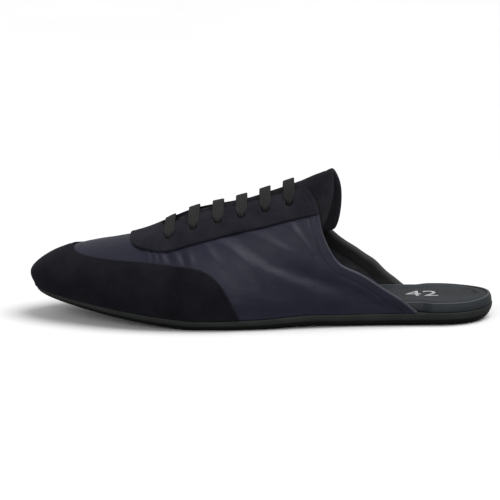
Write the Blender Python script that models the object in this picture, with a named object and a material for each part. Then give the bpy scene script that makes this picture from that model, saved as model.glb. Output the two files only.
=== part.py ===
"""A backless laced slipper for the left foot: a rounded rubber outsole, a wrapped leather footbed,
a hollow fabric upper, a suede toe overlay and eyestay, a standing tongue and a flat lace.

Metres, +Z up. +X runs from the heel to the toe and +Y to the outer (lateral) side of the foot.
All forms are measured from the back of the heel, and one empty puts the middle of the slipper
at the origin, with its sole on the floor plane.
"""

import math

import bmesh
import bpy
import numpy as np
from mathutils import kdtree

MM = 0.001

# Driving sizes of the sole
SOLE_LENGTH = 285.5 * MM
BALL_WIDTH = 95.0 * MM
HEEL_WIDTH = 66.0 * MM
HEEL_ROUND = 34.0 * MM
TOE_ROUND = 75.0 * MM
HEEL_THICK = 8.4 * MM
WAIST_THICK = 7.7 * MM
BALL_THICK = 6.6 * MM
TIP_THICK = 4.0 * MM
TOE_SPRING = 14.8 * MM
WAIST_ARCH = 0.9 * MM
HEEL_ROLL = 1.4 * MM
EDGE_ROLL = 6.5 * MM
EDGE_TOP = 0.8 * MM

# Driving sizes of the footbed
FOOTBED_THICK = 4.0 * MM
HEEL_PAD = 2.0 * MM
PAD_DISH = 0.8 * MM
RIM_ROUND = 3.6 * MM
WRAP_INSET = 1.2 * MM
WRAP_TUCK = 0.6 * MM

# Driving sizes of the upper
INSTEP_HEIGHT = 84.4 * MM
TOE_OVERHANG = 1.4 * MM
TOE_LEVEL = 27.0 * MM
TOE_FAN = 17.0 * MM
SIDE_BULGE = 0.4 * MM
SIDE_RISE = 12.0 * MM
SOLE_LEDGE = 1.2 * MM
UPPER_WALL = 1.8 * MM
OVERLAY_THICK = 1.1 * MM
SEAT_GAP = 0.3 * MM
LACE_SLACK = 0.5 * MM

# Driving sizes of the throat, the tongue and the lace
THROAT_GAP = 24.0 * MM
THROAT_ROUND = 5.0 * MM
EYELET_ROWS = 6
EYELET_PITCH = 14.6 * MM
EYELET_SPREAD = 23.4 * MM
EYELET_TAPER = 3.6 * MM
EYELET_HOLE = 4.8 * MM
LACE_WIDTH = 7.4 * MM
LACE_THICK = 1.2 * MM
LACE_NECK = 3.2 * MM
LACE_BEND = 1.4 * MM
TONGUE_THICK = 2.6 * MM
TONGUE_CROWN = 3.4 * MM
TONGUE_FLARE = 1.9 * MM
TONGUE_CORNER = 9.0 * MM
OUTER_SWEEP = 0.5 * MM
INNER_SWEEP = 10.5 * MM

# Where the forms lie along the foot, as shares of the sole's length from the heel
THROAT_FRONT = 0.722
FIRST_EYELET = 0.700
TONGUE_ROOT = 0.765
TONGUE_TIP = 0.350
FLAT_END = 0.655
UPPER_END = 0.165

# Numbers of facets
BAND_FACETS = 3
FLANK_FACETS = 3
GUARD_FACETS = 5
SOLE_RINGS = 5
HOLE_SIDES = 12

# The plan outline of the sole. along: share of the sole's length from the heel. spread: how far the
# half width has grown from the heel's to the ball's. swing: the middle's offset to the outer side,
# as a share of the ball width.
OUTLINE = {
    "along": (0.00, 0.10, 0.20, 0.30, 0.40, 0.50, 0.60, 0.68, 0.76, 0.84, 0.92, 1.00),
    "spread": (0.00, -0.01, 0.01, 0.06, 0.20, 0.52, 0.86, 1.00, 0.94, 0.74, 0.50, 0.28),
    "swing": (0.00, 0.00, 0.005, 0.016, 0.040, 0.052, 0.030, 0.003, -0.023, -0.044, -0.058, -0.062),
}

# The lengthwise shape of the upper. along: share of the sole's length. ridge: height of the top line
# as a share of the instep height. lean: the top line's offset to the outer side, as a share of the
# ball width. rise: height of the widest level over the sole, as a share of the side rise.
# peak: how much sharper than round the top is.
PROFILE = {
    "along": (0.10, 0.25, 0.34, 0.42, 0.50, 0.58, 0.66, 0.72, 0.78, 0.83, 0.88, 0.94, 1.01),
    "ridge": (1.26, 1.18, 1.105, 1.018, 0.926, 0.847, 0.776, 0.679, 0.602, 0.568, 0.541, 0.482, 0.398),
    "lean": (0.00, 0.00, 0.00, 0.00, 0.00, -0.005, -0.012, -0.020, -0.030, -0.040, -0.050, -0.058, -0.062),
    "rise": (0.70, 0.80, 0.90, 1.00, 1.00, 1.00, 1.00, 0.98, 0.92, 0.86, 0.78, 0.72, 0.62),
    "peak": (0.00, 0.01, 0.03, 0.045, 0.05, 0.055, 0.06, 0.05, 0.02, 0.00, 0.00, 0.00, 0.00),
}

# The collar line on each side, from the end at the sole up to the throat. along: share of the
# sole's length. height: share of the instep height.
COLLAR_OUTER = {
    "along": (0.170, 0.206, 0.246, 0.293, 0.333, 0.356, 0.372, 0.381, 0.386, 0.393, 0.407, 0.421),
    "height": (0.100, 0.205, 0.292, 0.395, 0.459, 0.540, 0.645, 0.735, 0.825, 0.900, 0.962, 1.010),
}
COLLAR_INNER = {
    "along": (0.170, 0.204, 0.230, 0.252, 0.275, 0.297, 0.320, 0.352, 0.374, 0.390, 0.407, 0.421),
    "height": (0.100, 0.192, 0.262, 0.338, 0.392, 0.446, 0.496, 0.590, 0.715, 0.870, 0.958, 1.010),
}

# The upper edge of the toe overlay and the lower edge of the eyestay, from back to front.
OVERLAY_EDGE = {
    "along": (0.556, 0.570, 0.583, 0.600, 0.622, 0.650, 0.690, 0.740, 0.790, 0.840, 0.885, 0.912, 0.922),
    "height": (0.075, 0.185, 0.272, 0.355, 0.415, 0.445, 0.459, 0.467, 0.468, 0.470, 0.478, 0.495, 0.530),
}
EYESTAY_EDGE = {
    "along": (0.360, 0.387, 0.440, 0.500, 0.560, 0.620, 0.665, 0.695, 0.725, 0.755, 0.773, 0.785, 0.792),
    "height": (0.845, 0.815, 0.775, 0.725, 0.680, 0.630, 0.588, 0.556, 0.540, 0.543, 0.553, 0.575, 0.620),
}

# The tongue's half width on each side, measured in plan, as a share of the eyelet spread.
TONGUE_EDGE = {
    "along": (0.330, 0.380, 0.420, 0.500, 0.620, 0.720, 0.765),
    "outer": (1.256, 1.274, 1.256, 1.203, 1.13, 1.06, 0.97),
    "inner": (1.203, 1.22, 1.22, 1.19, 1.13, 1.06, 0.97),
}

SIDES = (1, -1)
LENGTH = SOLE_LENGTH + TOE_OVERHANG
WIDEST = math.pi / 2
FOOT_TURN = 0.55
FEATHER = WIDEST + FOOT_TURN
STEP = 1e-4
POLE_GUARD = 0.12
WELD = 0.2 * MM
RIB_GAP = 1.6 * MM


def spline_slopes(knots, values):
    """Second derivatives of the natural cubic spline through the knots."""
    gaps = np.diff(knots)
    count = len(knots)
    system = np.eye(count)
    right = np.zeros(count)
    for i in range(1, count - 1):
        system[i, i - 1 : i + 2] = gaps[i - 1], 2 * (gaps[i - 1] + gaps[i]), gaps[i]
        right[i] = 6 * ((values[i + 1] - values[i]) / gaps[i] - (values[i] - values[i - 1]) / gaps[i - 1])
    return np.linalg.solve(system, right)


def smooth(knots, values, at):
    """The natural cubic spline through hand-chosen knots, held level past its ends."""
    knots, values = np.asarray(knots, float), np.asarray(values, float)
    bends = spline_slopes(knots, values)
    at = np.clip(np.asarray(at, float), knots[0], knots[-1])
    i = np.clip(np.searchsorted(knots, at) - 1, 0, len(knots) - 2)
    gap = knots[i + 1] - knots[i]
    before, after = (at - knots[i]) / gap, (knots[i + 1] - at) / gap
    return (
        after * values[i]
        + before * values[i + 1]
        + ((after**3 - after) * bends[i] + (before**3 - before) * bends[i + 1]) * gap**2 / 6
    )


def column(table, name, x):
    """One column of a lengthwise table at the place x."""
    return smooth(table["along"], table[name], np.asarray(x, float) / SOLE_LENGTH)


def traced(table, name, count):
    """Even points along an edge line of a table: places along the foot, and the column there."""
    knots = np.arange(len(table["along"]))
    fine = np.linspace(0, knots[-1], 40 * len(knots))
    along, value = smooth(knots, table["along"], fine), smooth(knots, table[name], fine)
    lengths = np.hypot(np.diff(along * SOLE_LENGTH), np.diff(value * INSTEP_HEIGHT))
    run = np.concatenate([[0], np.cumsum(lengths)])
    even = np.linspace(0, run[-1], count)
    return np.interp(even, run, along) * SOLE_LENGTH, np.interp(even, run, value)


def edge_height(table, x):
    """Height of an edge line at the place x, from a smooth curve through the line's own points."""
    along, height = traced(table, "height", 400)
    return np.interp(x, along, height) * INSTEP_HEIGHT


def turn_at(x):
    """The outline's angle, from 0 at the heel to pi at the toe, whose point is at the place x."""
    return np.arccos(np.clip(1 - 2 * np.asarray(x, float) / SOLE_LENGTH, -1, 1))


def round_end(distance, radius):
    """A quarter ellipse's rise over the first stretch from an end, then one."""
    share = np.clip(distance / radius, 0, 1)
    return np.sqrt(share * (2 - share))


def outline_point(side, turn):
    """The sole's edge in plan. Cosine spacing keeps both round ends evenly sampled."""
    x = SOLE_LENGTH * (1 - np.cos(turn)) / 2
    spread = column(OUTLINE, "spread", x)
    half = HEEL_WIDTH / 2 + (BALL_WIDTH - HEEL_WIDTH) / 2 * spread
    half = half * round_end(x, HEEL_ROUND) * round_end(SOLE_LENGTH - x, TOE_ROUND)
    return x, column(OUTLINE, "swing", x) * BALL_WIDTH + side * half


def outline(side, turn, inset):
    """The sole's edge in plan, moved in by an inset along its own normal."""
    turn = np.asarray(turn, float)
    x, y = outline_point(side, turn)
    before, after = np.maximum(turn - STEP, 0), np.minimum(turn + STEP, math.pi)
    x0, y0 = outline_point(side, before)
    x1, y1 = outline_point(side, after)
    tip = (turn > math.pi - STEP) | (turn < STEP)
    along, across = np.where(tip, 0, x1 - x0), y1 - y0
    size = np.hypot(along, across)
    return x + side * across / size * inset, y - side * along / size * inset


def floor_curve(x):
    """Height of the outsole's underside: flat under heel and ball, with toe spring and a low arch."""
    flat_end = FLAT_END * SOLE_LENGTH
    lift = np.clip((x - flat_end) / (SOLE_LENGTH - flat_end), 0, 2)
    arch_place = np.clip((x / SOLE_LENGTH - 0.30) / 0.22, 0, 1)
    back = np.clip(1 - x / (0.07 * SOLE_LENGTH), 0, 2)
    return TOE_SPRING * lift**1.25 + WAIST_ARCH * np.sin(math.pi * arch_place) ** 2 + HEEL_ROLL * back**2


def sole_thickness(x):
    """The outsole is thickest at the heel and thins towards the toe."""
    knots = (0.0, 0.20, 0.40, 0.58, 0.70, 0.84, 1.0)
    values = (HEEL_THICK, HEEL_THICK, WAIST_THICK, BALL_THICK, BALL_THICK,
              BALL_THICK - 0.3 * (BALL_THICK - TIP_THICK), TIP_THICK)
    return smooth(knots, values, np.asarray(x, float) / SOLE_LENGTH)


def sole_top(x):
    """Height of the outsole's upper face."""
    return floor_curve(x) + sole_thickness(x)


def ridge_height(x):
    """Height of the upper's top line, before it rounds down at the toe."""
    return column(PROFILE, "ridge", x) * INSTEP_HEIGHT


def widest_level(x):
    """Height at which the upper is widest. It rises to the toe's foremost point."""
    own = sole_top(x) + column(PROFILE, "rise", x) * SIDE_RISE
    near_tip = np.clip((x / SOLE_LENGTH - 0.88) / 0.12, 0, 1) ** 2
    return own + (TOE_LEVEL - own) * near_tip


def rib_places(turns):
    """Where each rib leaves the top line. The ribs fan out round the toe."""
    edge_x, _ = outline_point(1, turns)
    return LENGTH - np.hypot(LENGTH - edge_x, TOE_FAN)


def skin_point(side, turn, phi):
    """The upper's outer form. turn goes along the sole's outline, and phi round the section: 0 on the
    top line, a right angle where the section is widest, FEATHER at the sole."""
    edge_x, _ = outline_point(side, turn)
    near_tip = np.clip((edge_x / SOLE_LENGTH - 0.80) / 0.20, 0, 1) ** 2
    bulge = SIDE_BULGE + (TOE_OVERHANG - SIDE_BULGE) * near_tip
    wide_x, wide_y = outline(side, turn, -bulge)
    top_x = rib_places(turn)
    top_y = column(PROFILE, "lean", top_x) * BALL_WIDTH
    peak = column(PROFILE, "peak", top_x)
    above = np.minimum(phi, WIDEST)
    out = (np.sin(above) - peak * np.sin(3 * above)) / (1 + peak)
    below = np.clip((phi - WIDEST) / FOOT_TURN, 0, 1)
    foot_x, foot_y = outline(side, turn, SOLE_LEDGE)
    drawn_in = (1 - np.cos(math.pi * below)) / 2
    x = top_x + (wide_x - top_x) * out + (foot_x - wide_x) * drawn_in
    y = top_y + (wide_y - top_y) * out + (foot_y - wide_y) * drawn_in
    level = widest_level(x)
    crown = level + (ridge_height(x) - level) * np.cos(above)
    seat = sole_top(foot_x) + SEAT_GAP
    z = np.where(phi > WIDEST, widest_level(wide_x) * (1 - below) + seat * below, crown)
    return np.stack(np.broadcast_arrays(x, y, z), axis=-1)


def skin_frame(side, turn, phi):
    """Outward normal of the outer form, and its unit direction down the rib."""
    guarded = np.maximum(phi, POLE_GUARD)
    ahead, behind = np.minimum(turn + STEP, math.pi), turn - STEP
    along = skin_point(side, ahead, guarded) - skin_point(side, behind, guarded)
    down = skin_point(side, turn, phi + STEP) - skin_point(side, turn, np.maximum(phi - STEP, 0))
    normal = np.cross(along, down) * side
    normal /= np.linalg.norm(normal, axis=-1, keepdims=True)
    down /= np.linalg.norm(down, axis=-1, keepdims=True)
    return normal, down


def skin(side, turn, phi, lift):
    """A point on the outer form, lifted off it along the normal."""
    turn, phi = np.asarray(turn, float), np.asarray(phi, float)
    normal, _ = skin_frame(side, turn, phi)
    return skin_point(side, turn, phi) + np.asarray(lift, float)[..., None] * normal


def rib_crossing(side, turns, wanted):
    """On each rib, the angle where wanted(points) turns from negative to positive."""
    angles = np.linspace(0, FEATHER, 240)
    found = []
    for turn in turns:
        values = wanted(skin_point(side, np.full_like(angles, turn), angles))
        first = int(np.argmax(values >= 0)) if (values >= 0).any() else len(angles) - 1
        if first == 0:
            found.append(0.0)
            continue
        a, b = values[first - 1], values[first]
        found.append(angles[first - 1] + (angles[first] - angles[first - 1]) * (-a / (b - a) if b > a else 1))
    return np.array(found)


def line_angle(side, turns, table):
    """The angle at which each rib passes an edge line given by its height."""
    return rib_crossing(side, turns, lambda p: edge_height(table, p[:, 0]) - p[:, 2])


def spread_angle(side, turns, distance):
    """The angle at which each rib is a given distance from the top line, measured in plan."""
    return rib_crossing(
        side, turns, lambda p: np.hypot(p[:, 0] - p[0, 0], p[:, 1] - p[0, 1]) - distance(p[:, 0])
    )


def throat_half(x):
    """Half the throat's opening, which is round at its front and a little wider at the collar."""
    front = THROAT_FRONT * SOLE_LENGTH
    widening = 0.88 + 0.20 * np.clip((front - x) / (0.3 * SOLE_LENGTH), 0, 1)
    return THROAT_GAP / 2 * widening * round_end(np.clip(front - x, 0, None), THROAT_ROUND)


def opening_angle(side, turns):
    """Where each rib of the upper begins: the top line, the throat's edge or the collar."""
    collar = COLLAR_OUTER if side > 0 else COLLAR_INNER
    places = rib_places(turns)
    throat = np.where(
        places < THROAT_FRONT * SOLE_LENGTH, spread_angle(side, turns, throat_half), 0
    )
    behind = places < collar["along"][-1] * SOLE_LENGTH
    return np.where(behind, np.maximum(throat, line_angle(side, turns, collar)), throat)


def turns_for(places):
    """The ribs that leave the top line at these places."""
    dense = np.linspace(turn_at(0.05 * SOLE_LENGTH), math.pi, 3000)
    return np.interp(places, rib_places(dense), dense)


def turns_along(table, count, side=1):
    """The ribs that pass through even points of an edge line."""
    places, _ = traced(table, "height", count)
    first = turn_at(places.min() - 0.02 * SOLE_LENGTH)
    dense = np.linspace(first, turn_at(places.max() + 0.04 * SOLE_LENGTH), 90)
    crossing = skin_point(side, dense, line_angle(side, dense, table))[:, 0]
    return np.interp(places, np.maximum.accumulate(crossing), dense)


def form_turns():
    """The ribs of the upper and its overlays: close together where an edge line is steep or round."""
    collar = np.concatenate([turns_along(COLLAR_OUTER, 15), turns_along(COLLAR_INNER, 7, -1)])
    guard = turns_along(OVERLAY_EDGE, 15)
    nose = turns_along(EYESTAY_EDGE, 28)
    throat = turns_for(THROAT_FRONT * SOLE_LENGTH - np.array([1.0, 0.5, 0.15, 0]) * THROAT_ROUND)
    between = np.linspace(collar.max(), guard.min(), 6)[1:-1]
    back = turns_for(OVERLAY_EDGE["along"][0] * SOLE_LENGTH - 2 * RIB_GAP)
    wanted = np.sort(np.concatenate([collar, between, [back], guard, nose[-9:], throat]))
    gap = RIB_GAP * 2 / SOLE_LENGTH
    kept = [wanted[0]]
    for turn in wanted[1:]:
        crowded = turn - kept[-1] < gap or (turn not in throat and np.abs(throat - turn).min() < gap)
        if turn in throat or not crowded:
            kept.append(turn)
    front = kept[-1] + (math.pi - kept[-1]) * np.linspace(0, 1, 9)[1:]
    return np.concatenate([kept, front])


def form_lines(side, turns):
    """The angles at which each rib starts and ends, and passes the eyestay's edge, the overlay's edge
    and the level just over the sole at which the overlay stops."""
    end = np.full(len(turns), FEATHER)
    start = np.minimum(opening_angle(side, turns), end)
    stop = rib_crossing(side, turns, lambda p: sole_top(p[:, 0]) + 2 * SEAT_GAP - p[:, 2])
    stop = np.maximum(stop, start)
    band = np.clip(line_angle(side, turns, EYESTAY_EDGE), start, stop)
    guard = np.clip(line_angle(side, turns, OVERLAY_EDGE), band, stop)
    return start, band, guard, stop, end


def form_grid(side, turns, lines, facets):
    """Ribs between edge lines, with a number of facets for each strip: (side, turn, phi) on a grid."""
    strips = [
        low[:, None] + (high - low)[:, None] * np.linspace(0, 1, count + 1)[1:]
        for low, high, count in zip(lines, lines[1:], facets)
    ]
    phi = np.concatenate([lines[0][:, None], *strips], axis=1)
    return side, np.broadcast_to(turns[:, None], phi.shape), phi


def shell(grids, outside, inside):
    """A closed wall between two lifts off the outer form, over a sheet's ribs. Lifts may vary."""
    base, outer, inner, faces = [], [], [], []
    for side, turn, phi in grids:
        start = sum(len(block) for block in base)
        base.append(skin_point(side, turn, phi).reshape(-1, 3))
        for blocks, lift in ((outer, outside), (inner, inside)):
            blocks.append(skin(side, turn, phi, np.broadcast_to(lift(turn, phi), phi.shape)).reshape(-1, 3))
        rows, columns = phi.shape
        for i in range(rows - 1):
            for j in range(columns - 1):
                a = start + i * columns + j
                b = a + columns
                pair = ((a, a + 1, b + 1), (a, b + 1, b))
                faces += pair if side > 0 else [face[::-1] for face in pair]
    shared = nearest_earlier(np.concatenate(base))
    return closed_wall(shared, np.concatenate(outer), np.concatenate(inner), faces)


def nearest_earlier(points):
    """For each point, the number of the first point that lies within the weld distance of it."""
    tree = kdtree.KDTree(len(points))
    for number, point in enumerate(points):
        tree.insert(point, number)
    tree.balance()
    found = []
    for number, point in enumerate(points):
        near = [other for _, other, _ in tree.find_range(point, WELD) if other < number]
        found.append(min((found[other] for other in near), default=number))
    return np.array(found)


def closed_wall(shared, outer, inner, faces):
    """Points and faces of the wall between two matching sheets, with shared points joined."""
    kept = [tuple(dict.fromkeys(shared[list(face)].tolist())) for face in faces]
    kept = [face for face in kept if len(face) == 3]
    used = sorted({corner for face in kept for corner in face})
    number = {corner: place for place, corner in enumerate(used)}
    kept = [tuple(number[corner] for corner in face) for face in kept]
    count = len(used)
    joined = [[block[shared == corner].mean(axis=0) for corner in used] for block in (outer, inner)]
    edges = {edge for a, b, c in kept for edge in ((a, b), (b, c), (c, a))}
    rim = [(b, a, a + count, b + count) for a, b in sorted(edges) if (b, a) not in edges]
    backs = [tuple(corner + count for corner in reversed(face)) for face in kept]
    return np.concatenate(joined), kept + backs + rim


def ring_solid(rings, dish=0.0):
    """A closed pillow. Each ring is the points of one side and then the other, from heel to toe, and
    the first and last rings are closed by strips across the foot, the last one dished."""
    size = len(rings[0])
    half = size // 2
    points = [point for ring in rings for point in ring]
    faces = []
    for level in range(len(rings) - 1):
        low, high = level * size, (level + 1) * size
        for i in range(half - 1):
            faces.append((low + i + 1, low + i, high + i, high + i + 1))
            faces.append((low + half + i, low + half + i + 1, high + half + i + 1, high + half + i))
    top = (len(rings) - 1) * size
    middle = len(points)
    for i in range(half):
        points.append((np.array(rings[-1][i]) + np.array(rings[-1][half + i])) / 2 - [0, 0, dish * math.sin(
            math.pi * min(1, 6 * i / half) / 2) * math.sin(math.pi * min(1, 6 * (half - 1 - i) / half) / 2)])
    for i in range(half - 1):
        faces.append((i, i + 1, half + i + 1, half + i))
        faces.append((top + i + 1, top + i, middle + i, middle + i + 1))
        faces.append((middle + i + 1, middle + i, top + half + i, top + half + i + 1))
    return np.array(points, float), faces


def ring(turns, inset, height):
    """One level of a ring solid: both sides of the outline, moved in, at a height worked out from x."""
    points = []
    for side in SIDES:
        x, y = outline(side, turns, inset)
        points.extend(np.stack([x, y, height(x)], axis=1))
    return points


def make_object(name, points, faces, finish, frame):
    """A mesh object with welded points and faces turned outwards, held by the frame empty."""
    mesh = bpy.data.meshes.new(name)
    mesh.from_pydata([tuple(map(float, p)) for p in points], [], faces)
    body = bmesh.new()
    body.from_mesh(mesh)
    bmesh.ops.remove_doubles(body, verts=body.verts, dist=1e-6)
    bmesh.ops.dissolve_degenerate(body, edges=body.edges, dist=1e-6)
    bmesh.ops.recalc_face_normals(body, faces=body.faces)
    body.to_mesh(mesh)
    body.free()
    mesh.shade_smooth()
    mesh.set_sharp_from_angle(angle=math.radians(40))
    made = bpy.data.objects.new(name, mesh)
    bpy.context.scene.collection.objects.link(made)
    made.parent = frame
    if finish:
        mesh.materials.append(finish)
    return made


def material(name, colour, roughness):
    """A plain Principled finish."""
    made = bpy.data.materials.new(name)
    made.use_nodes = True
    shader = made.node_tree.nodes["Principled BSDF"]
    shader.inputs["Base Color"].default_value = (*colour, 1)
    shader.inputs["Roughness"].default_value = roughness
    shader.inputs["Metallic"].default_value = 0.0
    return made


def outsole(frame, finish):
    """The rubber sole: its edge rolls under by a quarter ellipse, and its upper edge is eased."""
    turns = np.linspace(0, math.pi, 43)
    rings = []
    for angle in np.linspace(0, math.pi / 2, SOLE_RINGS):
        rise = 1 - math.cos(angle)
        rings.append(ring(
            turns,
            EDGE_ROLL * (1 - math.sin(angle)),
            lambda x, rise=rise: floor_curve(x) + (sole_thickness(x) - EDGE_TOP) * rise,
        ))
    rings.append(ring(turns, EDGE_TOP, sole_top))
    return make_object("outsole", *ring_solid(rings), finish, frame)


def footbed_inset(x, inside):
    """How far the footbed's side lies inside the sole's edge: full width behind the upper's end."""
    end = UPPER_END * SOLE_LENGTH
    cover = np.clip((x - 0.80 * end) / (0.20 * end), 0, 1)
    cover = cover * cover * (3 - 2 * cover)
    return WRAP_INSET + inside * cover


def footbed(frame, finish):
    """The padded insole. It shows its wrapped side at the heel and lies inside the upper in front."""
    turns = np.concatenate([np.linspace(0, turn_at(0.20 * SOLE_LENGTH), 17),
                            np.linspace(turn_at(0.20 * SOLE_LENGTH), math.pi, 22)[1:]])
    inside = SOLE_LEDGE + UPPER_WALL + SEAT_GAP
    edge_x, _ = outline_point(1, turns)
    base = footbed_inset(edge_x, inside)

    def thickness(x):
        heel = np.clip(1 - (x / SOLE_LENGTH - 0.22) / 0.30, 0, 1)
        return FOOTBED_THICK + HEEL_PAD * heel * heel * (3 - 2 * heel)

    rings = [ring(turns, base + WRAP_TUCK, lambda x: sole_top(x) + SEAT_GAP)]
    for angle in np.linspace(0, math.pi / 2, 5):
        rings.append(ring(
            turns,
            base + RIM_ROUND * (1 - math.cos(angle)),
            lambda x, angle=angle: sole_top(x) + SEAT_GAP + thickness(x) * (0.35 + 0.65 * math.sin(angle)),
        ))
    return make_object("footbed", *ring_solid(rings, PAD_DISH), finish, frame)


def upper(frame, finish, turns, cutter):
    """Vamp and quarters in one hollow wall, open at the throat, the collar, the heel and below."""
    facets = (BAND_FACETS, FLANK_FACETS, GUARD_FACETS, 1)
    grids = [form_grid(side, turns, form_lines(side, turns), facets) for side in SIDES]
    body = shell(grids, lambda t, p: 0.0, lambda t, p: -UPPER_WALL)
    made = make_object("upper", *body, finish, frame)
    cut(made, cutter)
    return made


def overlay(name, frame, finish, turns, strip, facets):
    """A suede layer on the upper, over one of the strips between its edge lines."""
    grids = []
    for side in SIDES:
        lines = form_lines(side, turns)[strip : strip + 2]
        grids.append(form_grid(side, turns, lines, (facets,)))
    body = shell(grids, lambda t, p: SEAT_GAP + OVERLAY_THICK, lambda t, p: SEAT_GAP)
    return make_object(name, *body, finish, frame)


def tongue_depth(turns, shares):
    """How deep the tongue's outer face lies under the upper's form. It is tucked close at its root,
    leaves room for the lace behind the eyelets, fills the throat and flares a little at its tip."""
    places = rib_places(turns) / SOLE_LENGTH
    close = UPPER_WALL + SEAT_GAP
    deep = UPPER_WALL + LACE_THICK + 2 * LACE_SLACK
    root = np.clip((places - THROAT_FRONT) / (TONGUE_ROOT - THROAT_FRONT), 0, 1)
    open_part = np.clip((THROAT_FRONT - places) / 0.05, 0, 1)
    crown = TONGUE_CROWN * open_part * (1 - np.minimum(1, shares / 0.65) ** 2) ** 2
    flare = TONGUE_FLARE * np.clip((COLLAR_OUTER["along"][-1] - places) / 0.07, 0, 1)
    return deep + (close - deep) * root - crown - flare * (1 - shares**4)


def tongue_tip(side, share):
    """Place of the tongue's free edge at a share of its half width. The inner half reaches further
    back than the outer one, and both corners are rounded."""
    corner = np.clip((share - 0.45) / 0.55, 0, 1)
    rounding = TONGUE_CORNER * (1 - np.sqrt(1 - corner * corner))
    sweep = OUTER_SWEEP if side > 0 else -INNER_SWEEP
    return TONGUE_TIP * SOLE_LENGTH + sweep * share**1.2 + rounding


def tongue_grid(side):
    """Ribs of one half of the tongue, from its middle to its edge: (side, turn, phi) on a grid."""
    shares = np.array([0, 0.25, 0.5, 0.7, 0.85, 0.95, 1.0])
    down = np.concatenate([[0, 0.02, 0.06, 0.12, 0.20], np.linspace(0.30, 1, 9)])
    tip = tongue_tip(side, shares)
    places = tip + (TONGUE_ROOT * SOLE_LENGTH - tip) * down[:, None]
    turn = turns_for(places)
    half = column(TONGUE_EDGE, "outer" if side > 0 else "inner", places) * EYELET_SPREAD
    phi = [spread_angle(side, [t], lambda x: s) for t, s in zip(turn.flat, (half * shares).flat)]
    return side, turn, np.reshape(phi, turn.shape)


def tongue(frame, finish):
    """The padded tongue: it fills the throat from below and stands up behind the last eyelets."""
    body = shell(
        [tongue_grid(side) for side in SIDES],
        lambda t, p: -tongue_depth(t, p / p[:, -1:]),
        lambda t, p: -tongue_depth(t, p / p[:, -1:]) - TONGUE_THICK,
    )
    return make_object("tongue", *body, finish, frame)


def eyelet_turns():
    """The ribs on which the eyelets lie."""
    places = FIRST_EYELET * SOLE_LENGTH - EYELET_PITCH * np.arange(EYELET_ROWS)
    return turns_for(places)


def eyelet_spread(x):
    """Distance of the eyelets from the top line. The two rows draw together towards the collar."""
    behind = (FIRST_EYELET * SOLE_LENGTH - x) / (EYELET_PITCH * (EYELET_ROWS - 1))
    return EYELET_SPREAD - EYELET_TAPER * behind


def eyelet_angle(side, turns):
    """The angle of the eyelets round the form."""
    return spread_angle(side, turns, eyelet_spread)


def swept(centres, wides, thicks):
    """A flat band swept along centres, with half-width and half-thickness vectors at each one."""
    points, faces = [], []
    for centre, wide, thick in zip(centres, wides, thicks):
        points += [centre + wide + thick, centre - wide + thick, centre - wide - thick, centre + wide - thick]
    for i in range(len(centres) - 1):
        for k in range(4):
            a, b = 4 * i + k, 4 * i + (k + 1) % 4
            faces.append((a, b, b + 4, a + 4))
    last = 4 * (len(centres) - 1)
    faces += [(3, 2, 1, 0), (last, last + 1, last + 2, last + 3)]
    return points, faces


def surface_at(side, turn, phi):
    """A point on the outer form with its normal and the directions down the rib and across it."""
    normal, down = skin_frame(side, np.array(turn), np.array(phi))
    return skin_point(side, np.array(turn), np.array(phi)), normal, down, np.cross(normal, down)


def lace_bar(turn):
    """One bar: up through one eyelet, over the eyestays and the throat, and down the other eyelet."""
    over = SEAT_GAP + OVERLAY_THICK + LACE_SLACK + LACE_THICK / 2
    under = -(UPPER_WALL + LACE_SLACK + LACE_THICK / 2)
    centres, wides, thicks = [], [], []
    for side in SIDES:
        eyelet = eyelet_angle(side, [turn])[0]
        base, normal, down, across = surface_at(side, turn, eyelet)
        stretch = np.linalg.norm(skin_point(side, turn, eyelet + STEP) - base) / STEP
        shoulder = eyelet - LACE_BEND / stretch
        part = []
        for share in (0, 0.2, 0.4, 0.6, 0.76, 0.88, 1):
            place, up, _, sideways = surface_at(side, turn, share * shoulder)
            narrowing = min(1.0, (1 - share) / 0.22)
            wide = LACE_NECK + (LACE_WIDTH - LACE_NECK) * narrowing * (2 - narrowing)
            part.append((place + up * over, sideways * side * wide / 2, up * LACE_THICK / 2))
        for angle in (math.pi / 4, math.pi / 2):
            facing = normal * math.cos(angle) + down * math.sin(angle)
            centre = base - down * LACE_BEND + normal * (over - LACE_BEND) + facing * LACE_BEND
            part.append((centre, across * side * LACE_NECK / 2, facing * LACE_THICK / 2))
        part.append((base + normal * under, across * side * LACE_NECK / 2, down * LACE_THICK / 2))
        part = part if side < 0 else part[:0:-1]
        centres += [c for c, _, _ in part]
        wides += [w for _, w, _ in part]
        thicks += [t for _, _, t in part]
    return swept(centres, wides, thicks)


def lace_rail(side, turns):
    """The run of the lace behind one row of eyelets, which joins the bars."""
    depth = -(UPPER_WALL + LACE_SLACK + LACE_THICK / 2)
    places = rib_places(turns)
    ends = np.linspace(places[0] + LACE_NECK / 2, places[-1] - LACE_NECK / 2, 16)
    centres, wides, thicks = [], [], []
    for turn in turns_for(ends):
        angle = eyelet_angle(side, [turn])[0]
        base, normal, down, _ = surface_at(side, turn, angle)
        centres.append(base + normal * depth)
        wides.append(down * LACE_NECK / 2)
        thicks.append(normal * LACE_THICK / 2)
    return swept(centres, wides, thicks)


def merged(pieces):
    """Several point and face lists as one."""
    points, faces = [], []
    for some, more in pieces:
        start = len(points)
        points += list(some)
        faces += [tuple(start + corner for corner in face) for face in more]
    return points, faces


def lace(frame, finish):
    """The flat lace: six straight bars joined by the runs behind the eyelets."""
    turns = eyelet_turns()
    bars = make_object("lace", *merged([lace_bar(turn) for turn in turns]), finish, frame)
    rails = make_object("lace_runs", *merged([lace_rail(side, turns) for side in SIDES]), None, frame)
    join = bars.modifiers.new("runs", "BOOLEAN")
    join.operation = "UNION"
    join.object = rails
    hide(rails)
    return bars


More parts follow.
